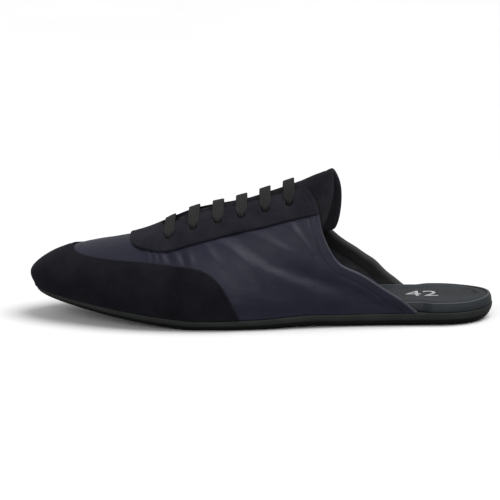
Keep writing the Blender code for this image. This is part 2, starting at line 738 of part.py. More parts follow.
def hide(helper):
    """A cutter or joiner is neither drawn nor kept as a part."""
    helper.hide_render = True
    helper.display_type = "WIRE"


def eyelet_cutter(frame):
    """Pins through every eyelet, at right angles to the form."""
    turns = eyelet_turns()
    pins = []
    for side in SIDES:
        for turn, phi in zip(turns, eyelet_angle(side, turns)):
            centre, normal, down, across = surface_at(side, turn, phi)
            points = []
            for lift in (-3 * UPPER_WALL, 3 * UPPER_WALL):
                for k in range(HOLE_SIDES):
                    angle = 2 * math.pi * k / HOLE_SIDES
                    reach = down * math.cos(angle) + across * math.sin(angle)
                    points.append(centre + normal * lift + reach * EYELET_HOLE / 2)
            faces = [tuple(range(HOLE_SIDES))[::-1], tuple(range(HOLE_SIDES, 2 * HOLE_SIDES))]
            for k in range(HOLE_SIDES):
                after = (k + 1) % HOLE_SIDES
                faces.append((k, after, after + HOLE_SIDES, k + HOLE_SIDES))
            pins.append((points, faces))
    cutter = make_object("eyelet_pins", *merged(pins), None, frame)
    hide(cutter)
    return cutter


def cut(body, cutter):
    """Cuts the eyelets through a body."""
    holes = body.modifiers.new("eyelets", "BOOLEAN")
    holes.operation = "DIFFERENCE"
    holes.object = cutter


def main():
    for old in list(bpy.data.objects):
        bpy.data.objects.remove(old, do_unlink=True)
    frame = bpy.data.objects.new("slipper_frame", None)
    bpy.context.scene.collection.objects.link(frame)
    frame.location = (-(LENGTH + SEAT_GAP + OVERLAY_THICK) / 2, 0, 0)
    rubber = material("sole_rubber", (0.012, 0.012, 0.013), 0.55)
    leather = material("footbed_leather", (0.022, 0.026, 0.030), 0.42)
    fabric = material("upper_fabric", (0.016, 0.017, 0.032), 0.48)
    suede = material("overlay_suede", (0.008, 0.008, 0.012), 0.92)
    webbing = material("lace_webbing", (0.020, 0.020, 0.020), 0.85)
    cutter = eyelet_cutter(frame)
    turns = form_turns()
    outsole(frame, rubber)
    footbed(frame, leather)
    upper(frame, fabric, turns, cutter)
    overlay("toe_overlay", frame, suede, turns, 2, GUARD_FACETS)
    cut(overlay("eyestay", frame, suede, turns, 0, BAND_FACETS), cutter)
    tongue(frame, suede)
    lace(frame, webbing)


main()
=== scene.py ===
"""A dark backless laced slipper for the left foot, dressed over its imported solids.

Every form is measured in metres from the back of the heel, as the maker's last is, and SHIFT takes
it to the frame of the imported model. side is +1 on the outer (lateral) side of the foot and -1 on the
inner one. The sections follow the slipper as it is put together, from the sole up.
"""

import math

import bmesh
import bpy
import numpy as np
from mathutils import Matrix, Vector


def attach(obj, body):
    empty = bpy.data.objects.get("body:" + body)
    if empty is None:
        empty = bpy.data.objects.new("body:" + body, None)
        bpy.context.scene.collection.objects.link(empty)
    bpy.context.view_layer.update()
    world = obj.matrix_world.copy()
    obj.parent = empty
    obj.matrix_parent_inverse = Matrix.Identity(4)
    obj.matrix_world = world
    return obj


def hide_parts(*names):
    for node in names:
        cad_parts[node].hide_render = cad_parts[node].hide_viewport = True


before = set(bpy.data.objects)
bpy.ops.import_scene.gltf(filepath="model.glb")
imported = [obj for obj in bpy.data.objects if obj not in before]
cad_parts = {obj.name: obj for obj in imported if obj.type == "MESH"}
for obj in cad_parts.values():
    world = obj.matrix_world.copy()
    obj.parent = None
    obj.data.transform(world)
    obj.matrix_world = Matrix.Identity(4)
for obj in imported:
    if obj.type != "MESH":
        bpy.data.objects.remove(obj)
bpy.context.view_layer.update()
MM = 0.001
SHIFT = np.array([144.15, 0.0, 0.0]) * MM


# Outsole
# A thin moulded rubber unit sole. Its side is rolled under like a bullnose, with a shallow moulded
# line that parts the upper band from the tread, and the tread has fine cross grooves. The upper is
# cemented to its top face.
SOLE_LENGTH, BALL_WIDTH, HEEL_WIDTH = 285.5 * MM, 95.0 * MM, 66.0 * MM
HEEL_ROUND, TOE_ROUND = 34.0 * MM, 75.0 * MM
TOE_SPRING, WAIST_ARCH, HEEL_ROLL = 14.8 * MM, 0.9 * MM, 1.4 * MM
EDGE_ROLL, EDGE_TOP = 6.5 * MM, 0.5 * MM
OUTLINE = {
    "along": (0.00, 0.10, 0.20, 0.30, 0.40, 0.50, 0.60, 0.68, 0.76, 0.84, 0.92, 1.00),
    "spread": (0.00, -0.01, 0.01, 0.06, 0.20, 0.52, 0.86, 1.00, 0.94, 0.74, 0.50, 0.28),
    "swing": (0.00, 0.00, 0.005, 0.016, 0.040, 0.052, 0.030, 0.003, -0.023, -0.044, -0.058, -0.062),
}
THICKNESS = {
    "along": (0.0, 0.20, 0.40, 0.58, 0.70, 0.84, 1.0),
    "mm": (8.4, 8.4, 7.7, 6.6, 6.6, 5.82, 4.0),
}


def smooth(knots, values, at):
    """The natural cubic spline through given knots: a cubic between each two, with the second
    derivatives that keep its slope and its bend continuous, held level past the ends."""
    knots, values = np.asarray(knots, float), np.asarray(values, float)
    gaps = np.diff(knots)
    system, right = np.eye(len(knots)), np.zeros(len(knots))
    inner = np.arange(1, len(knots) - 1)
    system[inner, inner - 1] = gaps[:-1]
    system[inner, inner] = 2 * (gaps[:-1] + gaps[1:])
    system[inner, inner + 1] = gaps[1:]
    right[inner] = 6 * np.diff(np.diff(values) / gaps)
    bends = np.linalg.solve(system, right)
    at = np.clip(np.asarray(at, float), knots[0], knots[-1])
    i = np.clip(np.searchsorted(knots, at) - 1, 0, len(knots) - 2)
    gap = knots[i + 1] - knots[i]
    before, after = (at - knots[i]) / gap, (knots[i + 1] - at) / gap
    curve = (after**3 - after) * bends[i] + (before**3 - before) * bends[i + 1]
    return after * values[i] + before * values[i + 1] + curve * gap**2 / 6


def column(table, name, x):
    """One column of a lengthwise table at the place x."""
    return smooth(table["along"], table[name], np.asarray(x, float) / SOLE_LENGTH)


def ease(value):
    """The smooth step: 3 v^2 - 2 v^3, with v held between 0 and 1."""
    value = np.clip(value, 0, 1)
    return value * value * (3 - 2 * value)


def turn_at(x):
    """The outline's angle at the place x: x = length (1 - cos turn) / 2."""
    return np.arccos(np.clip(1 - 2 * np.asarray(x, float) / SOLE_LENGTH, -1, 1))


def round_end(distance, radius):
    """A quarter ellipse's rise, sqrt(s (2 - s)), over the first stretch from an end, then one."""
    share = np.clip(distance / radius, 0, 1)
    return np.sqrt(share * (2 - share))


def outline_point(side, turn):
    """The sole's edge in plan: the middle line's swing plus the half width, rounded at both ends."""
    x = SOLE_LENGTH * (1 - np.cos(turn)) / 2
    half = HEEL_WIDTH / 2 + (BALL_WIDTH - HEEL_WIDTH) / 2 * column(OUTLINE, "spread", x)
    half = half * round_end(x, HEEL_ROUND) * round_end(SOLE_LENGTH - x, TOE_ROUND)
    return x, column(OUTLINE, "swing", x) * BALL_WIDTH + side * half


def outline(side, turn, inset):
    """The sole's edge in plan, moved in by an inset along its own normal."""
    turn = np.asarray(turn, float)
    x, y = outline_point(side, turn)
    x0, y0 = outline_point(side, np.maximum(turn - 1e-4, 0))
    x1, y1 = outline_point(side, np.minimum(turn + 1e-4, math.pi))
    tip = (turn > math.pi - 1e-4) | (turn < 1e-4)
    along, across = np.where(tip, 0, x1 - x0), y1 - y0
    size = np.hypot(along, across)
    return x + side * across / size * inset, y - side * along / size * inset


def floor_curve(x):
    """The underside's height: level under heel and ball, a power curve up to the toe, a sine-squared
    arch in the waist and a small square-law roll at the back of the heel."""
    lift = np.clip((x / SOLE_LENGTH - 0.655) / 0.345, 0, 2)
    arch = np.clip((x / SOLE_LENGTH - 0.30) / 0.22, 0, 1)
    back = np.clip(1 - x / (0.07 * SOLE_LENGTH), 0, 2)
    return TOE_SPRING * lift**1.25 + WAIST_ARCH * np.sin(math.pi * arch) ** 2 + HEEL_ROLL * back**2


def sole_top(x):
    """Height of the outsole's upper face."""
    return floor_curve(x) + column(THICKNESS, "mm", x) * MM


def mesh_piece(name, points, faces, uv=None, closed=True, weld=0.02 * MM):
    """A smooth mesh piece from points measured on the last. uv has one pair for each point. A closed
    form gets its normals turned outwards."""
    mesh = bpy.data.meshes.new(name)
    mesh.from_pydata((points - SHIFT).tolist(), [], faces.tolist())
    if uv is not None:
        layer = mesh.uv_layers.new(name="path")
        corner = np.empty(len(mesh.loops), dtype=np.int32)
        mesh.loops.foreach_get("vertex_index", corner)
        layer.data.foreach_set("uv", np.asarray(uv, np.float32)[corner].ravel())
    body = bmesh.new()
    body.from_mesh(mesh)
    bmesh.ops.remove_doubles(body, verts=body.verts, dist=weld)
    if closed:
        bmesh.ops.recalc_face_normals(body, faces=body.faces)
    body.to_mesh(mesh)
    body.free()
    mesh.shade_smooth()
    piece = bpy.data.objects.new(name, mesh)
    bpy.context.scene.collection.objects.link(piece)
    return piece


def grid_faces(rows, columns, start=0, turned=False):
    """The quads of a grid of points that is stored row by row."""
    corner = start + np.arange(rows - 1)[:, None] * columns + np.arange(columns - 1)
    quads = np.stack([corner, corner + 1, corner + columns + 1, corner + columns], axis=-1)
    return quads.reshape(-1, 4)[:, ::-1] if turned else quads.reshape(-1, 4)


def join_grids(grids, turned):
    """Several (rows, columns, 3) grids as one list of points and faces."""
    starts = np.cumsum([0] + [grid.shape[0] * grid.shape[1] for grid in grids[:-1]])
    points = np.concatenate([grid.reshape(-1, grid.shape[-1]) for grid in grids])
    faces = [grid_faces(*grid.shape[:2], start, flip) for grid, start, flip in zip(grids, starts, turned)]
    return points, np.concatenate(faces)


def pillow(name, turns, levels, dish=0.0, across=24):
    """A closed form from rings round the sole's outline, each an inset and a height worked out from x.
    The first and last rings are closed by grids across the foot, the last one dished by a product of
    two sines. The path map holds the place along the foot and the ring's share of the way up."""
    rings = []
    for inset, height in levels:
        sides = []
        for side in (1, -1):
            x, y = outline(side, turns, inset)
            sides.append(np.stack([x, y, height(x)], axis=1))
        rings.append(sides)
    rings = np.array(rings)
    share = np.linspace(0, 1, across)[:, None, None]
    caps = [rings[k, 0] + (rings[k, 1] - rings[k, 0]) * share for k in (0, -1)]
    run = np.linspace(0, 1, len(turns))
    hollow = dish * np.sin(math.pi * share) ** 0.5 * np.sin(math.pi * run[None, :, None]) ** 0.25
    caps[1] = caps[1] - hollow * np.array([0, 0, 1.0])
    points, faces = join_grids([rings[:, 0], rings[:, 1], *caps], [False, True, False, True])
    step = np.repeat(np.linspace(0, 1, len(levels)), len(turns))
    flat = np.repeat([0.0, 1.0], across * len(turns))
    uv = np.stack([points[:, 0], np.concatenate([step, step, flat])], axis=1)
    return mesh_piece(name, points, faces, uv)


def node_of(tree, kind, inputs=None, **settings):
    """One shader node with its settings and its unlinked inputs."""
    made = tree.nodes.new(kind)
    for key, value in settings.items():
        setattr(made, key, value)
    for key, value in (inputs or {}).items():
        if hasattr(value, "is_output"):
            tree.links.new(value, made.inputs[key])
        else:
            made.inputs[key].default_value = value
    return made


def ramp(tree, value, low, high, bottom=0.0, top=1.0):
    """A straight ramp held level past both ends: bottom where the value is low, top where it is high."""
    return node_of(tree, "ShaderNodeMapRange", {
        "Value": value, "From Min": low, "From Max": high, "To Min": bottom, "To Max": top}).outputs[0]


def sum_of(tree, kind, *terms):
    """One step of arithmetic on up to three terms, each a number or another node's result."""
    return node_of(tree, "ShaderNodeMath", dict(enumerate(terms)), operation=kind).outputs[0]


def blend(tree, share, first, second):
    """A colour between two: the first where the share is nought, the second where it is one."""
    return node_of(tree, "ShaderNodeMix", {0: share, 6: first, 7: second}, data_type="RGBA").outputs[2]


def blend_value(tree, share, first, second):
    """A number between two, mixed as blend mixes colours."""
    return node_of(tree, "ShaderNodeMix", {0: share, 2: first, 3: second}, data_type="FLOAT").outputs[0]


def place_on(tree):
    """The place on the object, in metres."""
    return node_of(tree, "ShaderNodeTexCoord").outputs["Object"]


def path_on(tree):
    """The two values of the piece's own path map."""
    path = node_of(tree, "ShaderNodeUVMap", uv_map="path").outputs[0]
    return node_of(tree, "ShaderNodeSeparateXYZ", {0: path}).outputs


def handled(tree, place, dark, light, patch, grain, dull, shine):
    """The handled surface of a material, between two colours and two roughnesses."""
    return node_of(tree, "ShaderNodeGroup", {
        "Vector": place, "Dark": (*dark, 1), "Light": (*light, 1), "Patch": patch, "Grain": grain,
        "Dull": dull, "Shine": shine}, node_tree=MOTTLE).outputs


def show_on(tree, shader, colour, rough):
    """Feeds a colour and a roughness to the shader."""
    tree.links.new(colour, shader.inputs["Base Color"])
    tree.links.new(rough, shader.inputs["Roughness"])


def blank_group(name, inputs, outputs):
    """An empty shader node group with named sockets: (name, kind, default) for each input."""
    group = bpy.data.node_groups.new(name, "ShaderNodeTree")
    for label, kind, default in inputs:
        socket = group.interface.new_socket(name=label, in_out="INPUT", socket_type=kind)
        if default is not None:
            socket.default_value = default
    for label, kind in outputs:
        group.interface.new_socket(name=label, in_out="OUTPUT", socket_type=kind)
    return group, group.nodes.new("NodeGroupInput"), group.nodes.new("NodeGroupOutput")


FLOAT, COLOUR, VECTOR = "NodeSocketFloat", "NodeSocketColor", "NodeSocketVector"


def mottle_group():
    """Handled surface: two sizes of soft noise shift a colour and a roughness a little about their
    middle values, and fine noise gives a height."""
    group, given, result = blank_group(
        "mottle",
        [("Vector", VECTOR, None), ("Dark", COLOUR, (0, 0, 0, 1)), ("Light", COLOUR, (1, 1, 1, 1)),
         ("Patch", FLOAT, 60.0), ("Grain", FLOAT, 1500.0), ("Dull", FLOAT, 0.7), ("Shine", FLOAT, 0.5)],
        [("Colour", COLOUR), ("Roughness", FLOAT), ("Height", FLOAT)],
    )
    wide = node_of(group, "ShaderNodeTexNoise", {
        "Vector": given.outputs["Vector"], "Scale": given.outputs["Patch"], "Detail": 4.0, "Roughness": 0.6})
    fine = node_of(group, "ShaderNodeTexNoise", {
        "Vector": given.outputs["Vector"], "Scale": given.outputs["Grain"], "Detail": 3.0})
    both = sum_of(group, "MULTIPLY", wide.outputs["Fac"], 0.72)
    both = sum_of(group, "MULTIPLY_ADD", fine.outputs["Fac"], 0.28, both)
    spread = ramp(group, both, 0.32, 0.68)
    colour = blend(group, spread, given.outputs["Dark"], given.outputs["Light"])
    rough = ramp(group, spread, 0.0, 1.0, given.outputs["Dull"], given.outputs["Shine"])
    group.links.new(colour, result.inputs["Colour"])
    group.links.new(rough, result.inputs["Roughness"])
    group.links.new(fine.outputs["Fac"], result.inputs["Height"])
    return group


def finish_of(name, settings):
    """A Principled finish with constant values on the shader's own sockets."""
    made = bpy.data.materials.new(name)
    made.use_nodes = True
    shader = made.node_tree.nodes["Principled BSDF"]
    for key, value in settings.items():
        shader.inputs[key].default_value = value
    return made, made.node_tree, shader


def bump_onto(tree, shader, height, distance, strength=1.0, below=None):
    """Feeds a height to the shader's normal, over an earlier bump if there is one."""
    made = node_of(tree, "ShaderNodeBump", {"Strength": strength, "Distance": distance, "Height": height})
    if below is not None:
        tree.links.new(below.outputs[0], made.inputs["Normal"])
    tree.links.new(made.outputs[0], shader.inputs["Normal"])
    return made


MOTTLE = mottle_group()


def rubber_finish():
    """Black rubber: a matt tread with moulded cross grooves underneath, and above the moulded line a
    smoother, greyer band. The much darker colour below the line is partly the rubber's own black and partly
    painted shade where the side rolls under towards the floor."""
    made, tree, shader = finish_of("sole_rubber", {"Specular IOR Level": 0.16})
    place = place_on(tree)
    look = handled(tree, place, (0.0022, 0.0023, 0.0025), (0.0050, 0.0052, 0.0055),
                   45.0, 2600.0, 0.82, 0.66)
    grey_band_look = handled(tree, place, (0.0150, 0.0160, 0.0160), (0.0260, 0.0275, 0.0270),
                     60.0, 2600.0, 0.66, 0.50)
    # Painted shade: below the moulded line the side takes the dark tread colour, and above it the greyer
    # band.
    band = ramp(tree, path_on(tree)["Y"], 0.50, 0.57)
    show_on(tree, shader, blend(tree, band, look["Colour"], grey_band_look["Colour"]),
            blend_value(tree, band, look["Roughness"], grey_band_look["Roughness"]))
    ribs = node_of(tree, "ShaderNodeTexWave", {"Vector": place, "Scale": 78.0, "Distortion": 0.0},
                   wave_type="BANDS", bands_direction="X", wave_profile="SIN")
    facing = node_of(tree, "ShaderNodeNewGeometry").outputs["Normal"]
    facing = node_of(tree, "ShaderNodeSeparateXYZ", {0: facing}).outputs["Z"]
    tread = sum_of(tree, "MULTIPLY", ribs.outputs["Fac"], ramp(tree, facing, -0.9, -0.98))
    first = bump_onto(tree, shader, look["Height"], 0.05 * MM, 0.5)
    bump_onto(tree, shader, tread, 0.5 * MM, 1.0, first)
    return made


def outsole_levels():
    """Rings of the bullnose side: a quarter ellipse from the tread up, with a groove 0.35 mm deep at
    two fifths of the height, and an eased top edge."""
    levels = [(EDGE_ROLL + 3 * MM, floor_curve)]
    for angle in np.linspace(0, math.pi / 2, 15):
        rise = 1 - math.cos(angle)
        groove = 0.35 * MM * math.exp(-(((rise - 0.46) / 0.05) ** 2))
        levels.append((
            EDGE_ROLL * (1 - math.sin(angle)) + groove,
            lambda x, rise=rise: floor_curve(x) + (column(THICKNESS, "mm", x) * MM - EDGE_TOP) * rise,
        ))
    for angle in np.linspace(0, math.pi / 2, 5)[1:]:
        levels.append((
            EDGE_TOP * (1 - math.cos(angle)),
            lambda x, angle=angle: sole_top(x) - EDGE_TOP * (1 - math.sin(angle)),
        ))
    levels.append((4 * MM, sole_top))
    return levels


outsole = pillow("outsole_rubber", np.linspace(0, math.pi, 261), outsole_levels())
outsole.data.materials.append(rubber_finish())
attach(outsole, "root")
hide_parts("outsole")


# Footbed
# A foam insole wrapped in smooth dark leather. At the heel its rolled side shows over the outsole.
# Under the upper it is narrower. A plain size numeral is foil-printed at the heel.
SOLE_LEDGE, UPPER_WALL, SEAT_GAP = 1.2 * MM, 1.8 * MM, 0.3 * MM
FOOTBED_THICK, HEEL_PAD, PAD_DISH = 4.0 * MM, 2.0 * MM, 0.8 * MM
WRAP_INSET = 1.2 * MM
NUMERAL_PLACE, NUMERAL_SIZE = 44 * MM, 21 * MM
UPPER_END = 0.165 * SOLE_LENGTH


def pad_thickness(x):
    """The footbed's thickness: level in front, eased up to the heel pad."""
    return FOOTBED_THICK + HEEL_PAD * ease(1 - (x / SOLE_LENGTH - 0.22) / 0.30)


def leather_grain_group():
    """Smooth leather: cells of fine pebble with soft long wrinkles. The height is the distance to the
    cells' borders, plus a stretched noise."""
    group, given, result = blank_group(
        "leather_grain", [("Vector", VECTOR, None), ("Pebble", FLOAT, 900.0), ("Wrinkle", FLOAT, 70.0)],
        [("Height", FLOAT)])
    cells = node_of(group, "ShaderNodeTexVoronoi", {
        "Vector": given.outputs["Vector"], "Scale": given.outputs["Pebble"]}, feature="DISTANCE_TO_EDGE")
    flat = ramp(group, cells.outputs["Distance"], 0.0, 0.18)
    folds = node_of(group, "ShaderNodeTexNoise", {
        "Vector": given.outputs["Vector"], "Scale": given.outputs["Wrinkle"], "Detail": 5.0,
        "Distortion": 0.6})
    total = sum_of(group, "MULTIPLY_ADD", folds.outputs["Fac"], 1.4, flat)
    group.links.new(total, result.inputs["Height"])
    return group


LEATHER_GRAIN = leather_grain_group()


def bead_group():
    """The wrapped rim: a painted highlight makes the bead's leather lighter, and painted shade darkens the
    groove inside it.
    Both are soft bands of the rings' share on the path map."""
    group, given, result = blank_group(
        "rolled_bead", [("Share", FLOAT, 0.0), ("Colour", COLOUR, (0, 0, 0, 1)),
                        ("Bead Highlight", COLOUR, (0.1, 0.1, 0.1, 1)), ("Groove Shade", COLOUR, (0, 0, 0, 1))],
        [("Colour", COLOUR)])
    share = given.outputs["Share"]
    # Painted highlight: a soft band of the rings over the bead is turned lighter.
    bead_highlight = sum_of(group, "MULTIPLY", ramp(group, share, 0.40, 0.52), ramp(group, share, 0.66, 0.60))
    first = blend(group, bead_highlight, given.outputs["Colour"], given.outputs["Bead Highlight"])
    # Painted shade: the rings at the groove inside the bead are turned darker.
    apart = sum_of(group, "ABSOLUTE", sum_of(group, "SUBTRACT", share, 0.735))
    second = blend(group, ramp(group, apart, 0.055, 0.02), first, given.outputs["Groove Shade"])
    group.links.new(second, result.inputs["Colour"])
    return group


def leather_finish(name, dark, light, dull, shine, wrinkle, bead_highlight=None):
    """Smooth lining or wrap leather with a low sheen. Given a bead colour, it adds a painted highlight along
    the rim's bead and painted shade in the groove inside it.
    """
    made, tree, shader = finish_of(name, {"Specular IOR Level": 0.22})
    place = place_on(tree)
    look = handled(tree, place, dark, light, 38.0, 900.0, dull, shine)
    grain = node_of(tree, "ShaderNodeGroup", {"Vector": place, "Wrinkle": wrinkle}, node_tree=LEATHER_GRAIN)
    colour = look["Colour"]
    if bead_highlight:
        # The bead group paints a highlight on the bead and shade in its groove.
        colour = node_of(tree, "ShaderNodeGroup", {
            "Share": path_on(tree)["Y"], "Colour": colour, "Bead Highlight": (*bead_highlight, 1),
            "Groove Shade": (0.004, 0.004, 0.005, 1)}, node_tree=bead_group()).outputs["Colour"]
    show_on(tree, shader, colour, look["Roughness"])
    bump_onto(tree, shader, grain.outputs["Height"], 0.12 * MM, 0.55)
    return made


def footbed_levels():
    """Rings of the wrapped side as (inset, share of the thickness): tucked a little at the joint, a
    swelling side that leans in, a rolled bead, the groove sewn inside it, and the pad's crown."""
    joined = ease((outline_point(1, PAD_TURNS)[0] - 0.80 * UPPER_END) / (0.20 * UPPER_END))
    covered = WRAP_INSET + SOLE_LEDGE + UPPER_WALL + SEAT_GAP
    base = WRAP_INSET * (1 - joined) * 0.35 + covered * joined
    side_rings = [(4.2, 0.0), (0.35, 0.0), (0.10, 0.05), (0.0, 0.14), (0.02, 0.30), (0.16, 0.46),
                  (0.42, 0.62), (0.74, 0.75), (1.00, 0.83)]
    bead = [(1.95 - 0.92 * math.cos(angle), 0.855 + 0.105 * math.sin(angle))
            for angle in np.linspace(0.1, math.pi * 0.92, 9)]
    groove = [(3.05, 0.835), (3.35, 0.850), (3.75, 0.885), (4.5, 0.93), (5.6, 0.965), (7.4, 0.99),
              (10.0, 1.0)]
    return [
        (base + inset * MM, lambda x, share=share: sole_top(x) + 0.5 * SEAT_GAP + pad_thickness(x) * share)
        for inset, share in side_rings + bead + groove
    ]


PAD_TURNS = np.concatenate([np.linspace(0, turn_at(0.20 * SOLE_LENGTH), 90),
                            np.linspace(turn_at(0.20 * SOLE_LENGTH), math.pi, 150)[1:]])
footbed = pillow("footbed_wrap", PAD_TURNS, footbed_levels(), PAD_DISH, 40)
# The last colour is the painted highlight along the rim's bead.
footbed.data.materials.append(
    leather_finish("footbed_leather", (0.014, 0.017, 0.0205), (0.0225, 0.0265, 0.0305), 0.62, 0.46, 60.0,
                   (0.075, 0.082, 0.090)))
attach(footbed, "root")
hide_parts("footbed")


def size_numeral():
    """The size as two plain digits of foil, laid 0.06 mm over the dished pad by raising each point to
    the pad's own height near it."""
    curve = bpy.data.curves.new("size_numeral", "FONT")
    curve.body, curve.size = "42", NUMERAL_SIZE
    curve.align_x, curve.align_y = "CENTER", "CENTER"
    text = bpy.data.objects.new("size_numeral_text", curve)
    bpy.context.scene.collection.objects.link(text)
    bpy.context.view_layer.update()
    flat = bpy.data.meshes.new_from_object(text)
    bpy.data.objects.remove(text)
    bpy.data.curves.remove(curve)
    body = bmesh.new()
    body.from_mesh(flat)
    bmesh.ops.remove_doubles(body, verts=body.verts, dist=0.01 * MM)
    bmesh.ops.triangulate(body, faces=body.faces)
    bmesh.ops.subdivide_edges(body, edges=[e for e in body.edges if e.calc_length() > 4 * MM], cuts=3)
    bmesh.ops.triangulate(body, faces=body.faces)
    body.to_mesh(flat)
    body.free()
    places = np.empty(len(flat.vertices) * 3)
    flat.vertices.foreach_get("co", places)
    places = places.reshape(-1, 3)
    top = np.empty(len(footbed.data.vertices) * 3)
    footbed.data.vertices.foreach_get("co", top)
    top = top.reshape(-1, 3)
    laid = np.stack([NUMERAL_PLACE - SHIFT[0] - places[:, 0], -places[:, 1], places[:, 2]], axis=1)
    top = top[(top[:, 2] > 12 * MM) & (top[:, 0] < -80 * MM)]
    gaps = ((laid[:, None, :2] - top[None, :, :2]) ** 2).sum(axis=2)
    near = np.argsort(gaps, axis=1)[:, :3]
    laid[:, 2] = top[near, 2].mean(axis=1) + 0.06 * MM
    flat.vertices.foreach_set("co", laid.ravel())
    flat.update()
    piece = bpy.data.objects.new("size_numeral", flat)
    bpy.context.scene.collection.objects.link(piece)
    return piece


numeral = size_numeral()
foil, foil_tree, foil_shader = finish_of("numeral_foil", {"Specular IOR Level": 0.5})
foil_look = handled(foil_tree, place_on(foil_tree), (0.30, 0.31, 0.32), (0.62, 0.63, 0.64),
                    260.0, 2500.0, 0.55, 0.32)
show_on(foil_tree, foil_shader, foil_look["Colour"], foil_look["Roughness"])
numeral.data.materials.append(foil)
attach(numeral, "root")


# Upper
# Vamp and quarters of a light satin-faced cloth, lasted over the toe and cemented to the sole, with
# its collar turned over and stitched. It is cloth outside and soft leather inside, and pulls into
# soft diagonal folds from the lacing down to the heel.
INSTEP_HEIGHT, TOE_OVERHANG, TOE_LEVEL, TOE_FAN = 84.4 * MM, 1.4 * MM, 27.0 * MM, 17.0 * MM
SIDE_BULGE, SIDE_RISE = 0.4 * MM, 12.0 * MM
THROAT_GAP, THROAT_ROUND, THROAT_FRONT = 24.0 * MM, 5.0 * MM, 0.722 * SOLE_LENGTH
LENGTH = SOLE_LENGTH + TOE_OVERHANG
WIDEST, FOOT_TURN = math.pi / 2, 0.55
FEATHER = WIDEST + FOOT_TURN
HEM_WIDTH, HEM_STEP, HEM_SEAM = 4.9 * MM, 0.25 * MM, 5.6 * MM
FACING_WIDTH, FACING_STEP = 8.6 * MM, 0.25 * MM
PROFILE = {
    "along": (0.10, 0.25, 0.34, 0.42, 0.50, 0.58, 0.66, 0.72, 0.78, 0.83, 0.88, 0.94, 1.01),
    "ridge": (1.26, 1.18, 1.105, 1.018, 0.926, 0.847, 0.776, 0.679, 0.602, 0.568, 0.541, 0.482, 0.398),
    "lean": (0.00, 0.00, 0.00, 0.00, 0.00, -0.005, -0.012, -0.020, -0.030, -0.040, -0.050, -0.058, -0.062),
    "rise": (0.70, 0.80, 0.90, 1.00, 1.00, 1.00, 1.00, 0.98, 0.92, 0.86, 0.78, 0.72, 0.62),
    "peak": (0.00, 0.01, 0.03, 0.045, 0.05, 0.055, 0.06, 0.05, 0.02, 0.00, 0.00, 0.00, 0.00),
}
COLLAR = {
    1: {
        "along": (0.170, 0.206, 0.246, 0.293, 0.333, 0.356, 0.372, 0.381, 0.386, 0.393, 0.407, 0.421),
        "height": (0.100, 0.205, 0.292, 0.395, 0.459, 0.540, 0.645, 0.735, 0.825, 0.900, 0.962, 1.010),
    },
    -1: {
        "along": (0.170, 0.204, 0.230, 0.252, 0.275, 0.297, 0.320, 0.352, 0.374, 0.390, 0.407, 0.421),
        "height": (0.100, 0.192, 0.262, 0.338, 0.392, 0.446, 0.496, 0.590, 0.715, 0.870, 0.958, 1.010),
    },
}
# Each fold of the outer flank: (places from the heel, heights, depth, half width), all in mm. A
# positive depth stands proud. FOLD_GAIN deepens them all.
FOLD_GAIN = 1.25
OUTER_FOLDS = (
    ((160, 145, 130, 112, 92, 68), (54.0, 46.0, 38.5, 31.0, 21.5, 12.5), -1.5, 5.6),
    ((128, 114, 98), (37.5, 32.0, 25.5), -0.5, 3.2),
    ((171, 163, 157, 151, 145), (52.5, 48.5, 43.5, 37.0, 28.0), 0.75, 2.4),
    ((161, 152, 143, 127, 97), (50.0, 42.5, 36.5, 29.0, 18.5), 0.75, 3.4),
    ((155, 144, 133, 124), (59.0, 53.5, 49.0, 46.0), 0.60, 2.6),
    ((143, 131, 119), (60.0, 53.5, 47.0), -0.45, 2.4),
    ((128, 121, 113), (63.5, 55.5, 47.5), 0.75, 2.1),
    ((123, 116, 109), (64.0, 53.0, 43.0), -0.60, 2.0),
    ((116, 112, 108), (64.0, 55.0, 46.0), 0.35, 1.6),
    ((179, 173, 164), (50.0, 42.5, 34.0), 0.45, 2.2),
    ((176, 168, 160), (43.0, 33.0, 22.0), -0.40, 3.0),
    ((158, 139, 120), (28.0, 18.5, 12.5), 0.45, 3.4),
    ((215, 213), (48.5, 41.0), 0.45, 1.2),
    ((211, 208.5), (48.5, 41.0), 0.50, 1.2),
    ((206.5, 204), (46.5, 40.5), 0.45, 1.3),
    ((199, 194), (47.0, 40.5), 0.50, 1.6),
    ((189.5, 186), (46.0, 38.5), 0.55, 1.6),
    ((202.5, 199.5), (46.0, 40.0), -0.40, 1.5),
    ((194.5, 190), (46.0, 39.5), -0.45, 1.8),
    ((104, 88, 70), (38.0, 27.5, 18.0), 0.40, 2.4),
)
INNER_FOLDS = (
    ((166, 148, 130, 110, 88), (52.0, 46.0, 39.0, 31.0, 21.0), -1.0, 4.2),
    ((170, 160, 150, 138), (50.0, 44.5, 37.0, 26.0), 0.75, 2.6),
    ((150, 134, 116, 94), (54.0, 47.0, 39.5, 27.0), 0.70, 3.0),
    ((134, 122, 110), (62.0, 54.0, 45.0), 0.55, 2.2),
    ((126, 116, 105), (62.0, 52.0, 42.0), -0.50, 2.0),
    ((186, 178, 168), (48.0, 40.5, 32.0), 0.45, 2.4),
    ((212, 209), (46.0, 40.0), 0.45, 1.3),
    ((206, 202), (46.0, 39.5), -0.40, 1.4),
    ((199, 194), (46.0, 39.0), 0.50, 1.6),
    ((150, 130, 108), (27.0, 19.0, 14.0), 0.40, 3.2),
)


def traced(table, count):
    """Even points along an edge line of a table: places along the foot, and heights."""
    knots = np.arange(len(table["along"]))
    fine = np.linspace(0, knots[-1], 40 * len(knots))
    along = smooth(knots, table["along"], fine) * SOLE_LENGTH
    height = smooth(knots, table["height"], fine) * INSTEP_HEIGHT
    run = np.concatenate([[0], np.cumsum(np.hypot(np.diff(along), np.diff(height)))])
    even = np.linspace(0, run[-1], count)
    return np.interp(even, run, along), np.interp(even, run, height)


